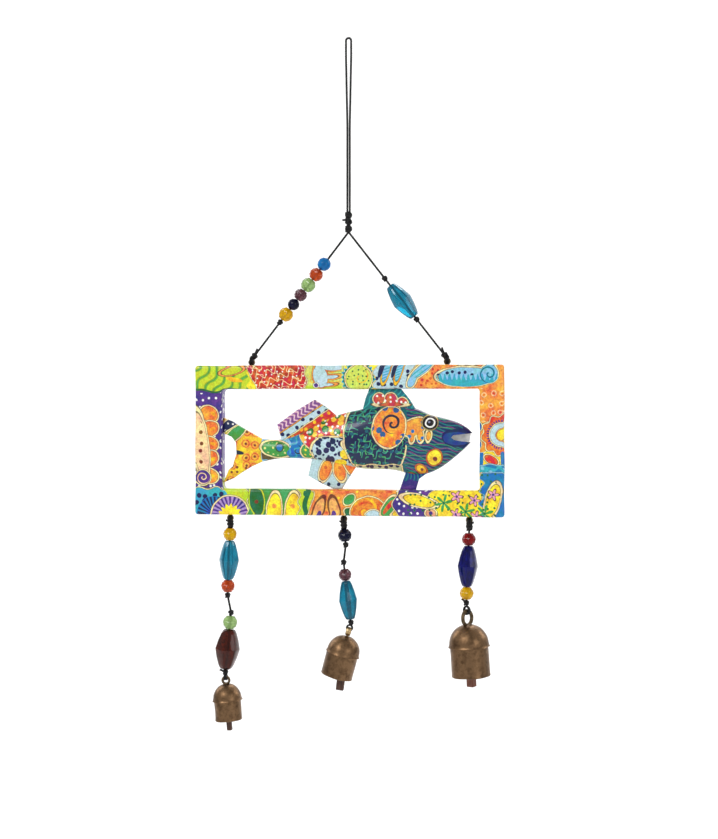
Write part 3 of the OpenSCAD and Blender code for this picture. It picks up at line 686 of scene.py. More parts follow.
red_wood = mottle(
    finish("red_wood", BROWN, 0.55), [rgb("4c2718"), rgb("6f3a24"), rgb("84492c")], 220, 0.2 * MM,
    (6, 6, 0.5))
mouth_lining = mottle(finish("mouth_lining", WHITE, 0.5), [rgb("a2a4a8"), rgb("dcdcd8")], 120,
                      0.1 * MM)
GLASS = {
    "yellow": glass("yellow_glass", "f4c400", 0.45, "c89400"),
    "navy": glass("navy_glass", "0a0f3a", 0.3, "03051a"),
    "mauve": glass("mauve_glass", "7a4c56", 0.5, "4c2a34"),
    "green": glass("green_glass", "aed088", 0.55, "88ac62"),
    "orange": glass("orange_glass", "dc5418", 0.45, "a0380e"),
    "blue": glass("blue_glass", "0a84cc", 0.4, "0462a6"),
    "teal": glass("teal_glass", "0e90ae", 0.7, "066e8c"),
    "brown": glass("brown_glass", "5c1a04", 0.6, "240802"),
    "red": glass("red_glass", "a40810", 0.4, "500408"),
    "cobalt": glass("cobalt_glass", "060c7c", 0.5, "02042e"),
}


# ---------------------------------------------------------------- making pieces

def piece(bm, name, material, body, stands_for=(), flat=False, sharp=40):
    """Finishes a mesh as a piece that rides on a CAD body."""
    bmesh.ops.recalc_face_normals(bm, faces=bm.faces)
    mesh = bpy.data.meshes.new(name)
    bm.to_mesh(mesh)
    bm.free()
    obj = bpy.data.objects.new(name, mesh)
    bpy.context.scene.collection.objects.link(obj)
    for surface in material if isinstance(material, tuple) else (material,):
        mesh.materials.append(surface)
    if flat:
        mesh.shade_flat()
    else:
        mesh.shade_smooth()
        mesh.set_sharp_from_angle(angle=math.radians(sharp))
    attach(obj, body)
    if stands_for:
        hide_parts(*stands_for)
    return obj


def axes_frame(origin, z, x=None):
    """A turn and a place: z along one direction, x as near as it can be to another."""
    z = z.normalized()
    x = x or (Vector((1, 0, 0)) if abs(z.x) < 0.9 else Vector((0, 1, 0)))
    y = z.cross(x).normalized()
    x = y.cross(z)
    return Matrix.Translation(origin) @ Matrix((x, y, z)).transposed().to_4x4()


def points_made(result):
    """The points among what an operator made."""
    return [v for v in result["geom"] if isinstance(v, bmesh.types.BMVert)]


def around(ring):
    """The edges between some points of a mesh."""
    return list({e for v in ring for e in v.link_edges if e.other_vert(v) in ring})


def follow(points, closed):
    """A place at each point of a line, that looks along it and doesn't spin."""
    places, ahead, turn = [], UP, Quaternion()
    for i, point in enumerate(points):
        before = points[i - 1] if i or closed else point
        after = points[(i + 1) % len(points)] if i < len(points) - 1 or closed else point
        way = (after - before).normalized()
        turn = ahead.rotation_difference(way) @ turn
        ahead = way
        places.append(Matrix.Translation(point) @ turn.to_matrix().to_4x4())
    return places


def sweep(bm, points, r, sides=10, closed=False, lobes=0, depth=0.0, twist=0.0, flat=1.0):
    """Draws a ring along a line: a tube, or a rope where the ring has lobes and twists."""
    ring = set(bmesh.ops.create_circle(bm, segments=sides, radius=r)["verts"])
    for v in ring:
        v.co *= 1 - depth * (1 - math.cos(lobes * math.atan2(v.co.y, v.co.x))) / 2
        v.co.y *= flat
    first, last, far = ring, Matrix(), 0.0
    for i, place in enumerate(follow(points, closed)):
        far += (points[i] - points[i - 1]).length if i else 0.0
        place = place @ Matrix.Rotation(far * twist, 4, "Z")
        if i:
            ring = set(points_made(bmesh.ops.extrude_edge_only(bm, edges=around(ring))))
        bmesh.ops.transform(bm, matrix=place @ last.inverted(), verts=list(ring))
        last = place
    if closed:
        bmesh.ops.bridge_loops(bm, edges=around(first) + around(ring))
    else:
        for end in (first, ring):
            bmesh.ops.edgeloop_fill(bm, edges=around(end))


def curve(a, b, c, d, t):
    """The smooth curve from b to c, with a before it and d after it."""
    return 0.5 * (2 * b + (c - a) * t + (2 * a - 5 * b + 4 * c - d) * t * t
                  + (3 * b - a - 3 * c + d) * t ** 3)


def smoothed(points, spacing):
    """Evenly close points on a smooth line through some given ones."""
    points = [Vector(p) for p in points]
    result = []
    for i in range(len(points) - 1):
        a, b, c, d = (points[min(max(i + k, 0), len(points) - 1)] for k in (-1, 0, 1, 2))
        steps = max(1, round((c - b).length / spacing))
        result += [curve(a, b, c, d, k / steps) for k in range(steps)]
    return result + [points[-1]]


def lay_cord(bm, points):
    """Three-ply waxed cord along a line."""
    line = smoothed(points, 0.9 * MM)
    sweep(bm, line, CORD * 0.56, 12, lobes=PLIES, depth=PLY_DEPTH, twist=PLY_TWIST)
    return line


def tie_knot(bm, place, size=1.0):
    """A knot drawn tight: three strands of cord that cross over a core."""
    bmesh.ops.create_icosphere(bm, subdivisions=2, radius=1.3 * size * MM, matrix=place)
    r = 1.4 * size * MM
    for tilt, turn, rise in ((26, 15, 0.6), (-36, 80, -0.55), (64, 150, 0.0)):
        ring = (place @ Matrix.Translation((0, 0, rise * size * MM))
                @ Matrix.Rotation(math.radians(turn), 4, "Z")
                @ Matrix.Rotation(math.radians(tilt), 4, "X"))
        points = [ring @ Vector((r * math.cos(a), r * math.sin(a), 0))
                  for a in (2 * math.pi * i / 20 for i in range(20))]
        sweep(bm, points, 0.7 * MM, 9, closed=True)


def cut_end(place, lean, turn, length):
    """A cut end of cord that stands out of a knot."""
    a, b = math.radians(lean), math.radians(turn)
    way = Vector((math.sin(a) * math.cos(b), math.sin(a) * math.sin(b), math.cos(a)))
    bm = bmesh.new()
    points = [place @ (way * length * k / 4 - UP * 0.12 * length * (k / 4) ** 2) for k in range(5)]
    lay_cord(bm, points)
    return bm


def turned(bm, profile, steps, closed=True):
    """A shape turned on a lathe from its outline, given as radius and height."""
    corners = [bm.verts.new((r, 0, z)) for r, z in profile]
    pairs = list(zip(corners, corners[1:])) + ([(corners[-1], corners[0])] if closed else [])
    edges = [bm.edges.new(pair) for pair in pairs]
    bmesh.ops.spin(bm, geom=corners + edges, cent=(0, 0, 0), axis=(0, 0, 1), angle=2 * math.pi,
                   steps=steps, use_merge=True)
    bmesh.ops.remove_doubles(bm, verts=bm.verts, dist=1e-7)
    bmesh.ops.recalc_face_normals(bm, faces=bm.faces)


def soften(bm, r, edges=None, segments=2):
    bmesh.ops.bevel(bm, geom=edges or list(bm.edges), offset=r, affect="EDGES", segments=segments,
                    profile=0.5, material=-1, clamp_overlap=True)


def slab(bm, points, thick):
    """A flat plate from its outline, which may be hollow-sided."""
    corners = [bm.verts.new(point) for point in points]
    edges = [bm.edges.new(pair) for pair in zip(corners, corners[1:] + corners[:1])]
    bmesh.ops.edgeloop_fill(bm, edges=edges)
    back = points_made(bmesh.ops.extrude_face_region(bm, geom=list(bm.faces)))
    bmesh.ops.translate(bm, vec=(0, thick, 0), verts=back)
    bmesh.ops.recalc_face_normals(bm, faces=bm.faces)


def unevened(bm, scale, far, seed=0.0):
    """Pushes a surface in and out a little, as hand work leaves it."""
    bm.normal_update()
    for v in bm.verts:
        v.co += v.normal * noise.noise(v.co / scale + Vector((seed, 0, 0))) * far


def put(bm, place):
    bmesh.ops.transform(bm, matrix=place, verts=bm.verts)


def score(bm, point, normal, near=0.0):
    """Lines drawn across a mesh by a plane, which leave its shape as it is."""
    bmesh.ops.bisect_plane(bm, geom=[*bm.verts, *bm.edges, *bm.faces], plane_co=point,
                           plane_no=normal, dist=near)


# ---------------------------------------------------------------- camera and light

def set_camera():
    data = bpy.data.cameras.new("camera")
    data.sensor_fit, data.sensor_height, data.lens = "VERTICAL", 36, 55.2
    camera = bpy.data.objects.new("camera", data)
    bpy.context.scene.collection.objects.link(camera)
    aim, far, round_by = Vector((7.35, 0, -266.4)) * MM, 0.9, math.radians(7)
    camera.location = aim + far * Vector((math.sin(round_by), -math.cos(round_by), 0))
    camera.rotation_euler = (math.pi / 2, 0, round_by)
    bpy.context.scene.camera = camera


def set_light(name, place, aim, size, power):
    data = bpy.data.lights.new(name, "AREA")
    data.shape, data.size, data.energy = "DISK", size, power
    light = bpy.data.objects.new(name, data)
    light.location = place
    light.rotation_euler = (Vector(aim) - light.location).to_track_quat("-Z", "Y").to_euler()
    bpy.context.scene.collection.objects.link(light)


def set_studio():
    """A pale floor that curves up behind, soft light from above and in front, and a pale sky."""
    bm = bmesh.new()
    start = [bm.verts.new((-3, y, z)) for y, z in ((-3, -0.75), (1.2, -0.75))]
    for i in range(1, 9):
        a = math.pi / 2 * i / 8
        start.append(bm.verts.new((-3, 1.2 + 0.8 * math.sin(a), 0.05 - 0.8 * math.cos(a))))
    start.append(bm.verts.new((-3, 2.0, 2.5)))
    edges = [bm.edges.new(pair) for pair in zip(start, start[1:])]
    far_side = points_made(bmesh.ops.extrude_edge_only(bm, edges=edges))
    bmesh.ops.translate(bm, vec=(6, 0, 0), verts=far_side)
    bmesh.ops.recalc_face_normals(bm, faces=bm.faces)
    mesh = bpy.data.meshes.new("floor")
    bm.to_mesh(mesh)
    bm.free()
    mesh.materials.append(finish("pale_floor", rgb("fafafa"), 0.9))
    mesh.shade_smooth()
    floor = bpy.data.objects.new("floor", mesh)
    bpy.context.scene.collection.objects.link(floor)
    world = bpy.data.worlds.new("sky")
    world.use_nodes = True
    world.node_tree.nodes["Background"].inputs["Color"].default_value = (1, 1, 1, 1)
    world.node_tree.nodes["Background"].inputs["Strength"].default_value = 0.5
    bpy.context.scene.world = world
    middle = (0, 0, -0.26)
    set_light("key", (-0.7, -1.3, 0.7), middle, 0.7, 13)
    set_light("fill", (1.2, -1.2, 0.0), middle, 0.9, 5)
    set_light("back", (0.2, 1.0, 0.9), middle, 0.8, 6)
    for side in (-1, 1):
        set_light("wall_left" if side < 0 else "wall_right", (side * 1.3, 0.7, 0.5), (0, 1.9, -0.5),
                  1.0, 12)
    bpy.context.scene.view_settings.view_transform = "Standard"


# ---------------------------------------------------------------- cords

def hang_loop():
    """The doubled cord that the mobile hangs by."""
    foot, bend, top = 0.85 * MM, 1.8 * MM, -1.05 * MM
    side = [Vector((-foot - (bend - foot) * max(0, k - 5) / 4, 0,
                    -LOOP_LENGTH + (LOOP_LENGTH + top) * k / 10))
            for k in range(10)]
    arc = [Vector((-bend * math.cos(a), 0, top + bend * math.sin(a)))
           for a in (math.pi * k / 9 for k in range(10))]
    route = side + arc + [Vector((-p.x, 0, p.z)) for p in reversed(side)]
    bm = bmesh.new()
    line = lay_cord(bm, route)
    loop = piece(bm, "hanging_loop_cord", waxed, "loop", ["hanging_loop"])


def tie_apex():
    """The wound knot that closes the loop, and the knot that the bridle starts from."""
    upper, lower = pivots["loop_twist"], pivots["bridle_swing"]
    bm = bmesh.new()
    for rise, turn in ((2.3, 0.4), (-2.1, 1.9)):
        tie_knot(bm, Matrix.Translation(upper + UP * rise * MM) @ Matrix.Rotation(turn, 4, "Z"),
                 1.42)
    sweep(bm, [upper + UP * h * MM for h in (4.2, 2, 0, -2, -5.2)], 1.5 * MM, 10)
    piece(bm, "apex_upper_turns", waxed, "upper_knot", ["apex_upper_knot"])
    piece(cut_end(Matrix.Translation(upper - UP * 1.2 * MM), 84, 180, 4.4 * MM), "apex_tail", waxed,
          "upper_knot")
    bm = bmesh.new()
    tie_knot(bm, Matrix.Translation(lower) @ Matrix.Rotation(0.9, 4, "Z"), 1.42)
    piece(bm, "apex_lower_tie", waxed, "lower_knot", ["apex_lower_knot"])


def wire_wrap(bm, place, wire_r, turns=2, up=1, tall=1.0):
    """Turns of cord round a wire that runs along x, standing on it or hanging from it."""
    r = wire_r + CORD / 2 + 0.25 * MM
    lift = (r * tall - wire_r - CORD / 2 - 0.15 * MM) * up
    for k in range(turns):
        x = (k - (turns - 1) / 2) * 0.95 * CORD
        points = [place @ Vector((x, r * math.cos(a), lift + r * tall * math.sin(a)))
                  for a in (2 * math.pi * i / 24 for i in range(24))]
        sweep(bm, points, CORD / 2, 10, closed=True)


EYE_WIRE, KNOT, GAP = 0.5 * MM, 2.1 * MM, 0.3 * MM
LEG_TIE = EYE_WIRE + KNOT + 2 * GAP
TOP_EYE, LEG = 69, 113.5 * MM


def rig_leg(side, name, stops, joint):
    """A leg of the bridle, from the apex down to its screw eye."""
    way = axes[joint] if axes[joint].z > 0 else -axes[joint]
    eye = Vector((side * TOP_EYE * MM, 0, pivots["frame_tilt"].z))
    top = eye + way * LEG
    bm = bmesh.new()
    line = lay_cord(bm, [top.lerp(eye, k / 12) for k in range(12)] + [eye + way * LEG_TIE])
    for far in stops:
        tie_knot(bm, axes_frame(eye + way * far, way))
    leg = piece(bm, f"{name}_bridle_leg", waxed, "bridle", [f"{name}_bridle_cord"])
    tails = cut_end(axes_frame(eye + way * LEG_TIE, UP), 20, 90 + 60 * side, 6.2 * MM)
    tail = piece(tails, f"{name}_bridle_tail", waxed, "bridle")
    bm = bmesh.new()
    wire_wrap(bm, Matrix.Translation(eye), EYE_WIRE, 2, up=-1, tall=1.65)
    tie_knot(bm, axes_frame(eye + way * (LEG_TIE - 0.4 * MM), way), 1.25)
    tie = piece(bm, f"{name}_bridle_tie", waxed, "bridle")


# The stretches of the strands: strand, part, the joint that it ends at, the beads on it, and the
# lean, turn and length of its cut end.
STRETCHES = (
    ("left", "upper", "link_swing", ("yellow", "long", "orange"), None),
    ("left", "link", "lower_sway", (), None),
    ("left", "lower", "bell_tie_sway", ("green", "brown"), (60, 180, 4.6 * MM)),
    ("middle", "upper", "link_swing", (), None),
    ("middle", "link", "lower_sway", (), None),
    ("middle", "lower", "bell_tie_sway", ("mauve", "long"), None),
    ("right", "upper", "bell_tie_sway", ("red", "long", "yellow"), (50, 150, 4.6 * MM)),
)


def rig_stretch(strand, part, end, on_it, tail):
    """A stretch of a strand, from under one knot to the knot that ends it."""
    body = f"{strand}_{part}"
    top = pivots[f"{body}_swing" if part == "link" else f"{body}_sway"]
    bottom = pivots[f"{strand}_{end}"]
    way = (top - bottom).normalized()
    start = top - way * (KNOT - 0.3 * MM)
    bm = bmesh.new()
    line = lay_cord(bm, [start.lerp(bottom, k / 6) for k in range(7)])
    tie_knot(bm, axes_frame(bottom, way))
    cord = piece(bm, f"{body}_run", waxed, body, [f"{body}_cord"])
    extra = []
    if tail:
        extra = [piece(cut_end(axes_frame(bottom, UP), *tail), f"{body}_run_tail", waxed, body)]
    if on_it:
        length = sum((b - a).length for a, b in zip(line, line[1:]))


def tie_to_eye(strand, turn):
    """The wrap of cord round a bottom screw eye, its knot and its cut end."""
    eye, knot = pivots[f"{strand}_tie_swing"], pivots[f"{strand}_upper_sway"]
    bm = bmesh.new()
    wire_wrap(bm, Matrix.Translation(eye), EYE_WIRE, 2, up=1, tall=1.7)
    for place, size in ((knot - UP * 0.3 * MM, 1.32), (eye.lerp(knot, 0.4), 1.18)):
        tie_knot(bm, axes_frame(place, UP), size)
    piece(bm, f"{strand}_eye_wrap", waxed, f"{strand}_tie", [f"{strand}_eye_tie"])
    tail = cut_end(axes_frame(eye - UP * 0.8 * MM, UP), 62, turn, 3.6 * MM)
    piece(tail, f"{strand}_eye_tail", waxed, f"{strand}_tie")


# ---------------------------------------------------------------- beads

BORE = 1.05 * MM
ROUND = {
    "bridle_yellow": (9.6, "yellow"), "bridle_navy": (8.4, "navy"), "bridle_mauve": (8.4, "mauve"),
    "bridle_green": (9.6, "green"), "bridle_orange": (9, "orange"), "bridle_blue": (9.6, "blue"),
    "left_yellow": (9, "yellow"), "left_orange": (9, "orange"), "left_green": (9.6, "green"),
    "middle_navy": (9, "navy"), "middle_mauve": (8.4, "mauve"),
    "right_red": (9, "red"), "right_yellow": (9, "yellow"),
}
SMOOTH = ("bridle_navy", "bridle_blue")
LONG = {
    "bridle_long": (27.6, 14.4, "teal", 12), "left_long": (27.6, 14.4, "teal", 0),
    "left_brown": (28.3, 17.6, "brown", 20), "middle_long": (27.0, 14.4, "teal", 35),
    "right_long": (28.3, 14.4, "cobalt", 15),
}


def off_bore(point):
    """Whether a point is on the outside of a bead, and not round its bore."""
    return point.co.xy.length > BORE * 1.1


def bead_place(bead):
    return axes_frame(pivots[f"{bead}_spin"], axes[f"{bead}_spin"])


def round_bead(bead, across, colour):
    """A round glass bead. The pressed ones have diamond facets, in rows set between each other."""
    r, rows, steps = across / 2 * MM, 5, 9
    smooth = bead in SMOOTH
    angles = [math.radians(18 + (162 - 18) * k / rows) for k in range(rows + 1)]
    girth = r if smooth else 1.07 * r
    outline = [(girth * math.sin(a), r * math.cos(a)) for a in angles]
    bm = bmesh.new()
    turned(bm, [(BORE, outline[0][1])] + outline + [(BORE, outline[-1][1])],
           24 if smooth else steps)
    if smooth:
        soften(bm, 0.3 * MM, [e for e in bm.edges if e.calc_face_angle(0) > 0.8])
    else:
        half = math.pi / steps
        for k, (_, height) in enumerate(outline):
            row = [v for v in bm.verts if abs(v.co.z - height) < 1e-6 and off_bore(v)]
            if k % 2:
                bmesh.ops.rotate(bm, cent=(0, 0, 0), matrix=Matrix.Rotation(half, 3, "Z"),
                                 verts=row)
        outer = [f for f in bm.faces if all(map(off_bore, f.verts))]
        bmesh.ops.poke(bm, faces=outer, offset=0.6 * MM, center_mode="MEAN_WEIGHTED")
        bmesh.ops.triangulate(bm, faces=[f for f in bm.faces if len(f.verts) > 3])
    put(bm, bead_place(bead))
    return piece(bm, f"{bead}_glass", GLASS[colour], bead, [f"{bead}_bead"],
                 flat=not smooth)


def long_bead(bead, long, across, colour, turn):
    """A long six-sided glass bead, with polished edges."""
    l, w = long * MM, across * MM
    half = [(0.19, 0.5), (0.25, 0.475), (0.32, 0.39), (0.42, 0.21), (0.5, 0.0)]
    outline = half + [(r, -z) for r, z in reversed(half[:-1])]
    bm = bmesh.new()
    turned(bm, [(BORE, l / 2)] + [(w * r, l * z) for r, z in outline] + [(BORE, -l / 2)], 6)
    outer = [e for e in bm.edges if all(map(off_bore, e.verts))]
    soften(bm, 0.28 * MM, outer, 2)
    put(bm, bead_place(bead) @ Matrix.Rotation(math.radians(turn), 4, "Z"))
    return piece(bm, f"{bead}_glass", GLASS[colour], bead, [f"{bead}_bead"],
                 sharp=22)


# ---------------------------------------------------------------- wood

LEFT_STILE, RIGHT_STILE, BOTTOM_RAIL, TOP_RAIL = 19.3 * MM, 17 * MM, 18.3 * MM, 16.6 * MM


def carve_frame(halves):
    """The board with its opening, its edges rounded by hand."""
    low, high = board_low, board_high
    xs = (low.x, low.x + LEFT_STILE, high.x - RIGHT_STILE, high.x)
    zs = (low.z, low.z + BOTTOM_RAIL, high.z - TOP_RAIL, high.z)
    bm = bmesh.new()
    grid = bmesh.ops.create_grid(bm, x_segments=3, y_segments=3, size=1.5)["verts"]
    for v in grid:
        v.co = (xs[round(v.co.x + 1.5)], low.y, zs[round(v.co.y + 1.5)])
    middle = min(bm.faces, key=lambda f: (f.calc_center_median() - BOARD).length)
    bmesh.ops.delete(bm, geom=[middle], context="FACES_ONLY")
    back = points_made(bmesh.ops.extrude_face_region(bm, geom=list(bm.faces)))
    bmesh.ops.translate(bm, vec=(0, high.y - low.y, 0), verts=back)
    bmesh.ops.recalc_face_normals(bm, faces=bm.faces)
    soften(bm, 2.0 * MM, [e for e in bm.edges if e.calc_face_angle(0) > 0.5], 4)
    for axis, first, last in ((0, low.x, high.x), (2, low.z, high.z)):
        normal = Vector((0, 0, 0))
        normal[axis] = 1
        count = round((last - first) / (4 * MM))
        for i in range(1, count):
            cut = low.copy()
            cut[axis] = first + (last - first) * i / count
            score(bm, cut, normal, 1e-6)
    score(bm, (SEAM * MM, 0, 0), (1, 0, 0), 1e-6)
    for face in bm.faces:
        face.material_index = face.calc_center_median().x > SEAM * MM
    unevened(bm, scale=22 * MM, far=0.5 * MM)
    piece(bm, "painted_board", halves, "frame", ["frame"], sharp=60)


# The fish from the tail's root to the nose: how far along, its top and bottom as shares of its
# height, and half its thickness as a share of the whole.
FISH_LONG, FISH_HIGH, FISH_THICK, TAIL_ROOT = 148 * MM, 46 * MM, 24 * MM, -61.5 * MM
STATIONS = (
    (0.00, 0.020, -0.330, 0.38), (0.09, 0.010, -0.275, 0.48), (0.18, 0.100, -0.275, 0.62),
    (0.27, 0.270, -0.300, 0.80), (0.37, 0.390, -0.360, 0.92), (0.46, 0.460, -0.420, 0.99),
    (0.55, 0.520, -0.440, 1.00), (0.64, 0.530, -0.450, 0.98), (0.73, 0.490, -0.520, 0.92),
    (0.80, 0.390, -0.490, 0.82), (0.87, 0.335, -0.370, 0.68), (0.93, 0.275, -0.220, 0.50),
    (0.975, 0.190, -0.080, 0.32), (1.00, 0.110, 0.010, 0.10),
)


def along(share):
    return TAIL_ROOT + share * FISH_LONG


def carve_body(material):
    """The fish's body, drawn out from the tail's root ring by ring, with its mouth cut in."""
    bm = bmesh.new()
    ring = set(bmesh.ops.create_circle(bm, segments=48, radius=1)["verts"])
    bmesh.ops.rotate(bm, cent=(0, 0, 0), matrix=Matrix.Rotation(math.pi / 2, 3, "Y"),
                     verts=list(ring))
    first, last = ring, Matrix()
    rows = [tuple(p) for p in smoothed_rows(STATIONS, 4)]
    for i, (share, top, bottom, thick) in enumerate(rows):
        middle = BOARD + Vector((along(share), 0, (top + bottom) / 2 * FISH_HIGH))
        girth = (1, thick * FISH_THICK / 2, (top - bottom) / 2 * FISH_HIGH, 1)
        place = Matrix.Translation(middle) @ Matrix.Diagonal(girth)
        if i:
            ring = set(points_made(bmesh.ops.extrude_edge_only(bm, edges=around(ring))))
        bmesh.ops.transform(bm, matrix=place @ last.inverted(), verts=list(ring))
        last = place
    for end in (first, ring):
        bmesh.ops.edgeloop_fill(bm, edges=around(end))
    unevened(bm, scale=16 * MM, far=0.35 * MM)
    body = piece(bm, "carved_body", (material, mouth_lining), "frame", ["fish_body"])
    nose = along(1.0)
    bm = bmesh.new()
    wedge = [(-14.3, 2.2), (-13, 3.8), (-8, 4.3), (2, 5.4), (2, -1.5), (-7, -0.5), (-12.6, 0.5)]
    slab(bm, [(nose + x * MM, -FISH_THICK, BOARD.z + z * MM) for x, z in wedge], 2 * FISH_THICK)
    mesh = bpy.data.meshes.new("mouth")
    bm.to_mesh(mesh)
    bm.free()
    mesh.materials.append(mouth_lining)
    cutter = bpy.data.objects.new("mouth", mesh)
    bpy.context.scene.collection.objects.link(cutter)
    cut = body.modifiers.new("mouth", "BOOLEAN")
    cut.operation, cut.solver = "DIFFERENCE", "EXACT"
    cut.material_mode, cut.object = "TRANSFER", cutter
    bpy.context.view_layer.update()
    finished = body.evaluated_get(bpy.context.evaluated_depsgraph_get())
    result = bpy.data.meshes.new_from_object(finished)
    body.modifiers.clear()
    body.data = result
    bpy.data.objects.remove(cutter)
    result.shade_smooth()
    result.set_sharp_from_angle(angle=math.radians(50))
    bm = bmesh.new()
    lining = ((-14.6, 2.2), (-13, 4.2), (-2, 5.2), (-1.2, 4.6), (-2.2, -0.8), (-12, -0.2))
    slab(bm, [(nose + x * MM, -1.6 * MM, BOARD.z + z * MM) for x, z in lining], 3.2 * MM)
    piece(bm, "mouth_floor", mouth_lining, "frame")


def smoothed_rows(rows, between):
    """The rows of a table with smooth ones between them."""
    result = []
    for i in range(len(rows) - 1):
        a, b, c, d = (rows[min(max(i + k, 0), len(rows) - 1)] for k in (-1, 0, 1, 2))
        result += [[curve(*four, k / between) for four in zip(a, b, c, d)] for k in range(between)]
    return result + [list(rows[-1])]


# Outlines of the tail and the fins, in millimetres from the frame's middle.
PLATES = {
    "tail_fin": [
        (-89.2, 15.9), (-83, 13.4), (-76.3, 9.2), (-68, 4.6), (-61.5, 0.9), (-52.6, -0.9),
        (-52.6, -12), (-61.5, -15.2), (-69, -18.6), (-76.3, -23), (-82, -27), (-88.9, -29.9),
        (-85.2, -20.9), (-82.2, -18.4), (-81.5, -15.2), (-79.6, -9.7), (-80, -1.8), (-83, 2.3),
        (-89.2, 5.1),
    ],
    "front_dorsal_fin": [
        (10.3, 16.6), (10.3, 22), (12, 29), (14.7, 35.9), (37, 35.9), (41, 31), (43.6, 27.6),
        (47.3, 21.6), (47.3, 16.6),
    ],
    "rear_dorsal_fin": [
        (-46.7, -1.7), (-50.4, 11), (-36, 21.4), (-23.8, 28.5), (-15, 22.8), (-8.2, 17), (-8.2, 12),
    ],
    "pelvic_fin": [
        (40.6, -15.2), (40.6, -21.2), (36.2, -34.2), (47.3, -34.2), (49.5, -26.7),
        (55.4, -22.5), (55.4, -17.5),
    ],
    "anal_fin": [
        (-24.5, -8.3), (-28.2, -24.8), (-19, -30), (-10.4, -33.9), (-4.5, -33.9), (0.4, -26),
        (5.1, -18.9), (5.1, -13.9),
    ],
}


def carve_plate(node, material):
    """A fin or the tail: flat, with its edges eased."""
    bm = bmesh.new()
    slab(bm, [BOARD + Vector((x, -2.5, z)) * MM for x, z in PLATES[node]], 5 * MM)
    flats = [f for f in bm.faces if abs(f.normal.y) > 0.9]
    for wide, drop in ((0.4, 0.35), (0.7, 0.2)):
        bmesh.ops.inset_region(bm, faces=flats, thickness=wide * MM, use_even_offset=True)
        inner = {v for f in flats for v in f.verts}
        for v in bm.verts:
            if v not in inner:
                v.co.y -= math.copysign(drop * MM, v.co.y)
    piece(bm, f"carved_{node}", material, "frame", [node], sharp=50)


def set_eyes():
    """The fish's eyes, a low dome on each side."""
    for side in (-1, 1):
        bm = bmesh.new()
        outline = [(0, 1.0), (1.6, 0.9), (3.0, 0.6), (4.2, 0.1), (4.6, -0.6), (4.6, -3.2),
                   (0, -3.2)]
        turned(bm, [(r * MM, z * MM) for r, z in outline], 40, closed=False)
        out = Vector((0.16, side, 0.1))
        put(bm, axes_frame(BOARD + Vector((57.8, side * 9.2, 12.5)) * MM, out))
        piece(bm, f"fish_eye_{'front' if side < 0 else 'back'}", EYE_PAINT, "frame")


def screw_in_eyes():
    """Brass screw eyes: a ring not quite closed on its threaded shank."""
    ring_r = 2 * MM
    rows = (
        ("top", [(-TOP_EYE, board_high.z, 1), (TOP_EYE, board_high.z, 1)]),
        ("bottom", [(x, board_low.z, -1) for x in (-84.4, -3.3, 84.3)]),
    )
    for row, eyes in rows:
        bm = bmesh.new()
        for x, face, up in eyes:
            centre = Vector((x * MM, 0, face + up * (ring_r + EYE_WIRE)))
            bend = [centre + Vector((ring_r * math.sin(a), 0, up * ring_r * math.cos(a)))
                    for a in (math.radians(d) for d in range(-163, 176, 13))]
            stem = [centre - UP * up * (ring_r + far * MM) for far in (0.6, 3, 6, 9)]
            sweep(bm, smoothed([*bend, *stem[:1]], 0.3 * MM), EYE_WIRE, 12)
            sweep(bm, stem, 0.68 * MM, 12, lobes=1, depth=0.12, twist=3000)
        piece(bm, f"{row}_brass_eyes", brass, "frame", [f"{row}_screw_eyes"])


# ---------------------------------------------------------------- bells

# Radius, barrel height, ring radius, ring wire radius, how deep the ring sinks in the crown,
# clapper width, thickness, length below the mouth and lean, and the hanger's strap shape.
BELLS = {
    "left": (10, 15.5, 2.4, 0.9, 0.9, 3.4, 3.8, 7.5, 0, 1.0),
    "middle": (11.4, 18, 2.6, 1.0, 0.3, 4.4, 5.4, 9, 8, 1.7),
    "right": (13.8, 22, 5.0, 1.3, 2.0, 4.6, 5.6, 7.5, 0, 1.0),
}
SHEET, LIP, PIN_DROP = 0.9 * MM, 1.6 * MM, 4.4 * MM


def bell_place(strand):
    top = pivots[f"{strand}_bell_swing"]
    return axes_frame(top, top - pivots[f"{strand}_clapper_swing"], axes[f"{strand}_bell_swing"])


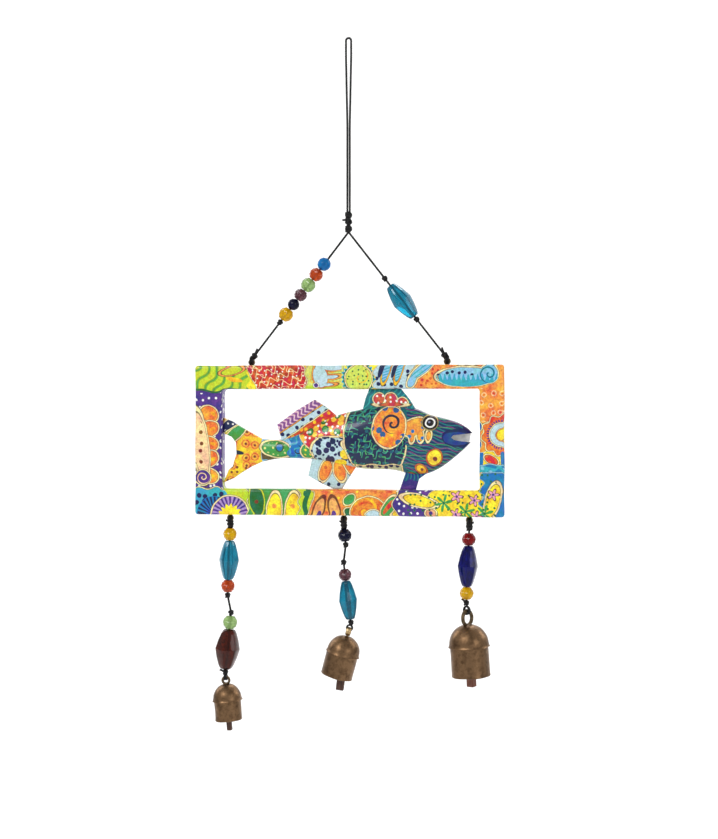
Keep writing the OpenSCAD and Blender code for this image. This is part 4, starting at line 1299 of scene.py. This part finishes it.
def make_bell(strand):
    """A bell brazed from two pieces of sheet iron, its hanger, and its wooden clapper."""
    place = bell_place(strand)
    sizes = BELLS[strand]
    r, tall, ring, wire, sink, wide, thick, below = (v * MM for v in sizes[:8])
    lean, strap = math.radians(sizes[8]), sizes[9]
    crown_top = -(2 * ring + wire - sink)
    seam = crown_top - r
    mouth = seam - tall
    pin = crown_top - SHEET - PIN_DROP
    body = f"{strand}_bell"

    # the crown: a beaten dome with a lip that stands out over the barrel
    bm = bmesh.new()
    outer = [(r * math.cos(a), seam + r * math.sin(a))
             for a in (math.radians(d) for d in range(86, -1, -6))]
    inner = [((r - SHEET) * math.cos(a), seam + (r - SHEET) * math.sin(a))
             for a in (math.radians(d) for d in range(2, 90, 8))]
    lip = [(r + 0.25 * MM, seam - 0.5 * LIP), (r + 0.7 * MM, seam - LIP),
           (r - 0.15 * MM, seam - LIP * 1.02), (r - 0.4 * MM, seam - 0.6 * LIP)]
    turned(bm, [(0.3 * MM, seam + r)] + outer + lip + inner + [(0.3 * MM, seam + r - SHEET)], 72)
    unevened(bm, scale=7 * MM, far=0.22 * MM, seed=sizes[0])
    put(bm, place)
    piece(bm, f"{body}_dome", bell_metal, body, [f"{body}_crown"], sharp=50)

    # the barrel: a rolled sheet with a brazed seam up its back and a thickened rim
    bm = bmesh.new()
    wall = r - SHEET / 2
    steps = [seam - 0.2 * MM - (tall - 1.5 * MM) * k / 7 for k in range(8)]
    outer = [(wall - 0.1 * MM * math.sin(math.pi * k / 7), z) for k, z in enumerate(steps)]
    rim = [(wall + 0.12 * MM, mouth + 0.8 * MM), (wall + 0.1 * MM, mouth + 0.2 * MM),
           (wall - 0.2 * MM, mouth), (wall - SHEET + 0.1 * MM, mouth),
           (wall - SHEET, mouth + 0.3 * MM)]
    turned(bm, outer + rim + [(wall - SHEET, z) for z in reversed(steps)], 72)
    unevened(bm, scale=9 * MM, far=0.28 * MM, seed=sizes[0] + 5)
    for v in bm.verts:
        apart = abs(math.atan2(v.co.x, v.co.y)) * wall
        if apart < 1.6 * MM and v.co.xy.length > wall - SHEET / 2:
            v.co.xy *= 1 + 0.35 * MM / wall
    put(bm, place)
    piece(bm, f"{body}_rolled_barrel", bell_metal, body, [f"{body}_barrel"],
          sharp=50)

    # the hanger: ring, stem and the fork that holds the clapper's pin
    bm = bmesh.new()
    loop = [Vector((ring * math.sin(a), 0, -ring + ring * math.cos(a)))
            for a in (2 * math.pi * i / 40 for i in range(40))]
    if strap == 1.0:
        sweep(bm, loop, wire, 14, closed=True)
    else:
        strap_ring(bm, loop, wire, strap)
    stem = (-2 * ring, crown_top - 1 * MM, crown_top - SHEET - 1 * MM)
    sweep(bm, [Vector((0, 0, z)) for z in stem], 0.8 * MM, 12)
    cheek = wide / 2 + GAP
    for x, w, low, high in ((0, 2 * cheek + 2 * MM, -2, -1), (-cheek - 0.5 * MM, MM, -5.8, -1.5),
                            (cheek + 0.5 * MM, MM, -5.8, -1.5)):
        z = crown_top - SHEET + (low + high) / 2 * MM
        block = Matrix.Translation((x, 0, z)) @ Matrix.Diagonal((w, 2.4 * MM, (high - low) * MM, 1))
        made = bmesh.ops.create_cube(bm, size=1, matrix=block)["verts"]
        soften(bm, 0.2 * MM, list({e for v in made for e in v.link_edges}), 2)
    sweep(bm, [Vector((x, 0, pin)) for x in (-cheek - 0.9 * MM, 0, cheek + 0.9 * MM)], 0.7 * MM, 12)
    put(bm, place)
    metal = hanger_metal if strap == 1.0 else strap_metal
    piece(bm, f"{body}_ring", metal, body, [f"{body}_hanger"], sharp=50)

    # the clapper: a stick of wood, split and trimmed with a knife
    bm = bmesh.new()
    long = pin - mouth + below
    above = 1.7 * MM
    bmesh.ops.create_cube(bm, size=1, matrix=Matrix.Translation((0, 0, (above - long) / 2))
                          @ Matrix.Diagonal((wide, thick, long + above, 1)))
    for z in [-1.6 * MM] + [-long * k / 6 for k in range(1, 6)]:
        score(bm, (0, 0, z), (0, 0, 1))
    soften(bm, 0.5 * MM, [e for e in bm.edges if e.calc_face_angle(0) > 0.5], 2)
    unevened(bm, scale=3.5 * MM, far=0.22 * MM, seed=sizes[0] + 9)
    put(bm, place @ Matrix.Translation((0, 0, pin)) @ Matrix.Rotation(-lean, 4, "X"))
    wood, slot = (red_wood, "red_wood") if strand == "right" else (dark_wood, "dark_wood")
    piece(bm, f"{strand}_clapper_stick", wood, f"{strand}_clapper", [f"{strand}_clapper"],
          sharp=50)


def strap_ring(bm, loop, wire, strap):
    """A ring bent from a flat strap, its broad side facing in."""
    sweep(bm, loop, wire * 0.55, 14, closed=True, flat=strap / 0.55)


def tie_bell(strand):
    """The wraps of cord through a bell's ring, up to the knot."""
    place = bell_place(strand)
    wire = BELLS[strand][3] * MM
    across = wire + 0.95 * MM
    knot = (pivots[f"{strand}_bell_tie_sway"] - pivots[f"{strand}_bell_swing"]).length
    reach = (knot - KNOT * 0.7 + wire) / 2
    bm = bmesh.new()
    for x in (-0.62, 0.62):
        points = []
        for i in range(24):
            a = 2 * math.pi * i / 24
            r = max(across, reach)
            closer = 1 - 0.5 * max(0, math.sin(a))
            rise = r * math.sin(a) + r - wire - 0.95 * MM
            points.append(place @ Vector((x * MM * closer, across * math.cos(a), rise)))
        sweep(bm, points, 0.66 * MM, 10, closed=True)
    piece(bm, f"{strand}_bell_wrap", waxed, f"{strand}_bell_tie", [f"{strand}_bell_tie"])


# ---------------------------------------------------------------- the whole mobile

set_camera()
hang_loop()
tie_apex()
glasses = {bead: round_bead(bead, *made) for bead, made in ROUND.items()}
glasses.update({bead: long_bead(bead, *made) for bead, made in LONG.items()})


def beads_of(*names):
    return [glasses[name] for name in names]


rig_leg(-1, "left", (33 * MM,),
        "bridle_yellow_spin")
rig_leg(1, "right", (34.6 * MM, 71 * MM), "bridle_long_spin")
for strand, turn in (("left", 200), ("middle", 190), ("right", -20)):
    tie_to_eye(strand, turn)
for strand, part, end, beads, tail in STRETCHES:
    rig_stretch(strand, part, end, beads_of(*(f"{strand}_{bead}" for bead in beads)), tail)
for strand in BELLS:
    tie_bell(strand)
    make_bell(strand)

EYE_PAINT = paint_eye()
carve_frame(painted_frame())
carve_body(painted_fish())
for fin, paint in (("tail_fin", painted_tail), ("front_dorsal_fin", painted_front_dorsal),
                   ("rear_dorsal_fin", painted_rear_dorsal), ("pelvic_fin", painted_pelvic),
                   ("anal_fin", painted_anal)):
    carve_plate(fin, paint())
set_eyes()
screw_in_eyes()
set_studio()
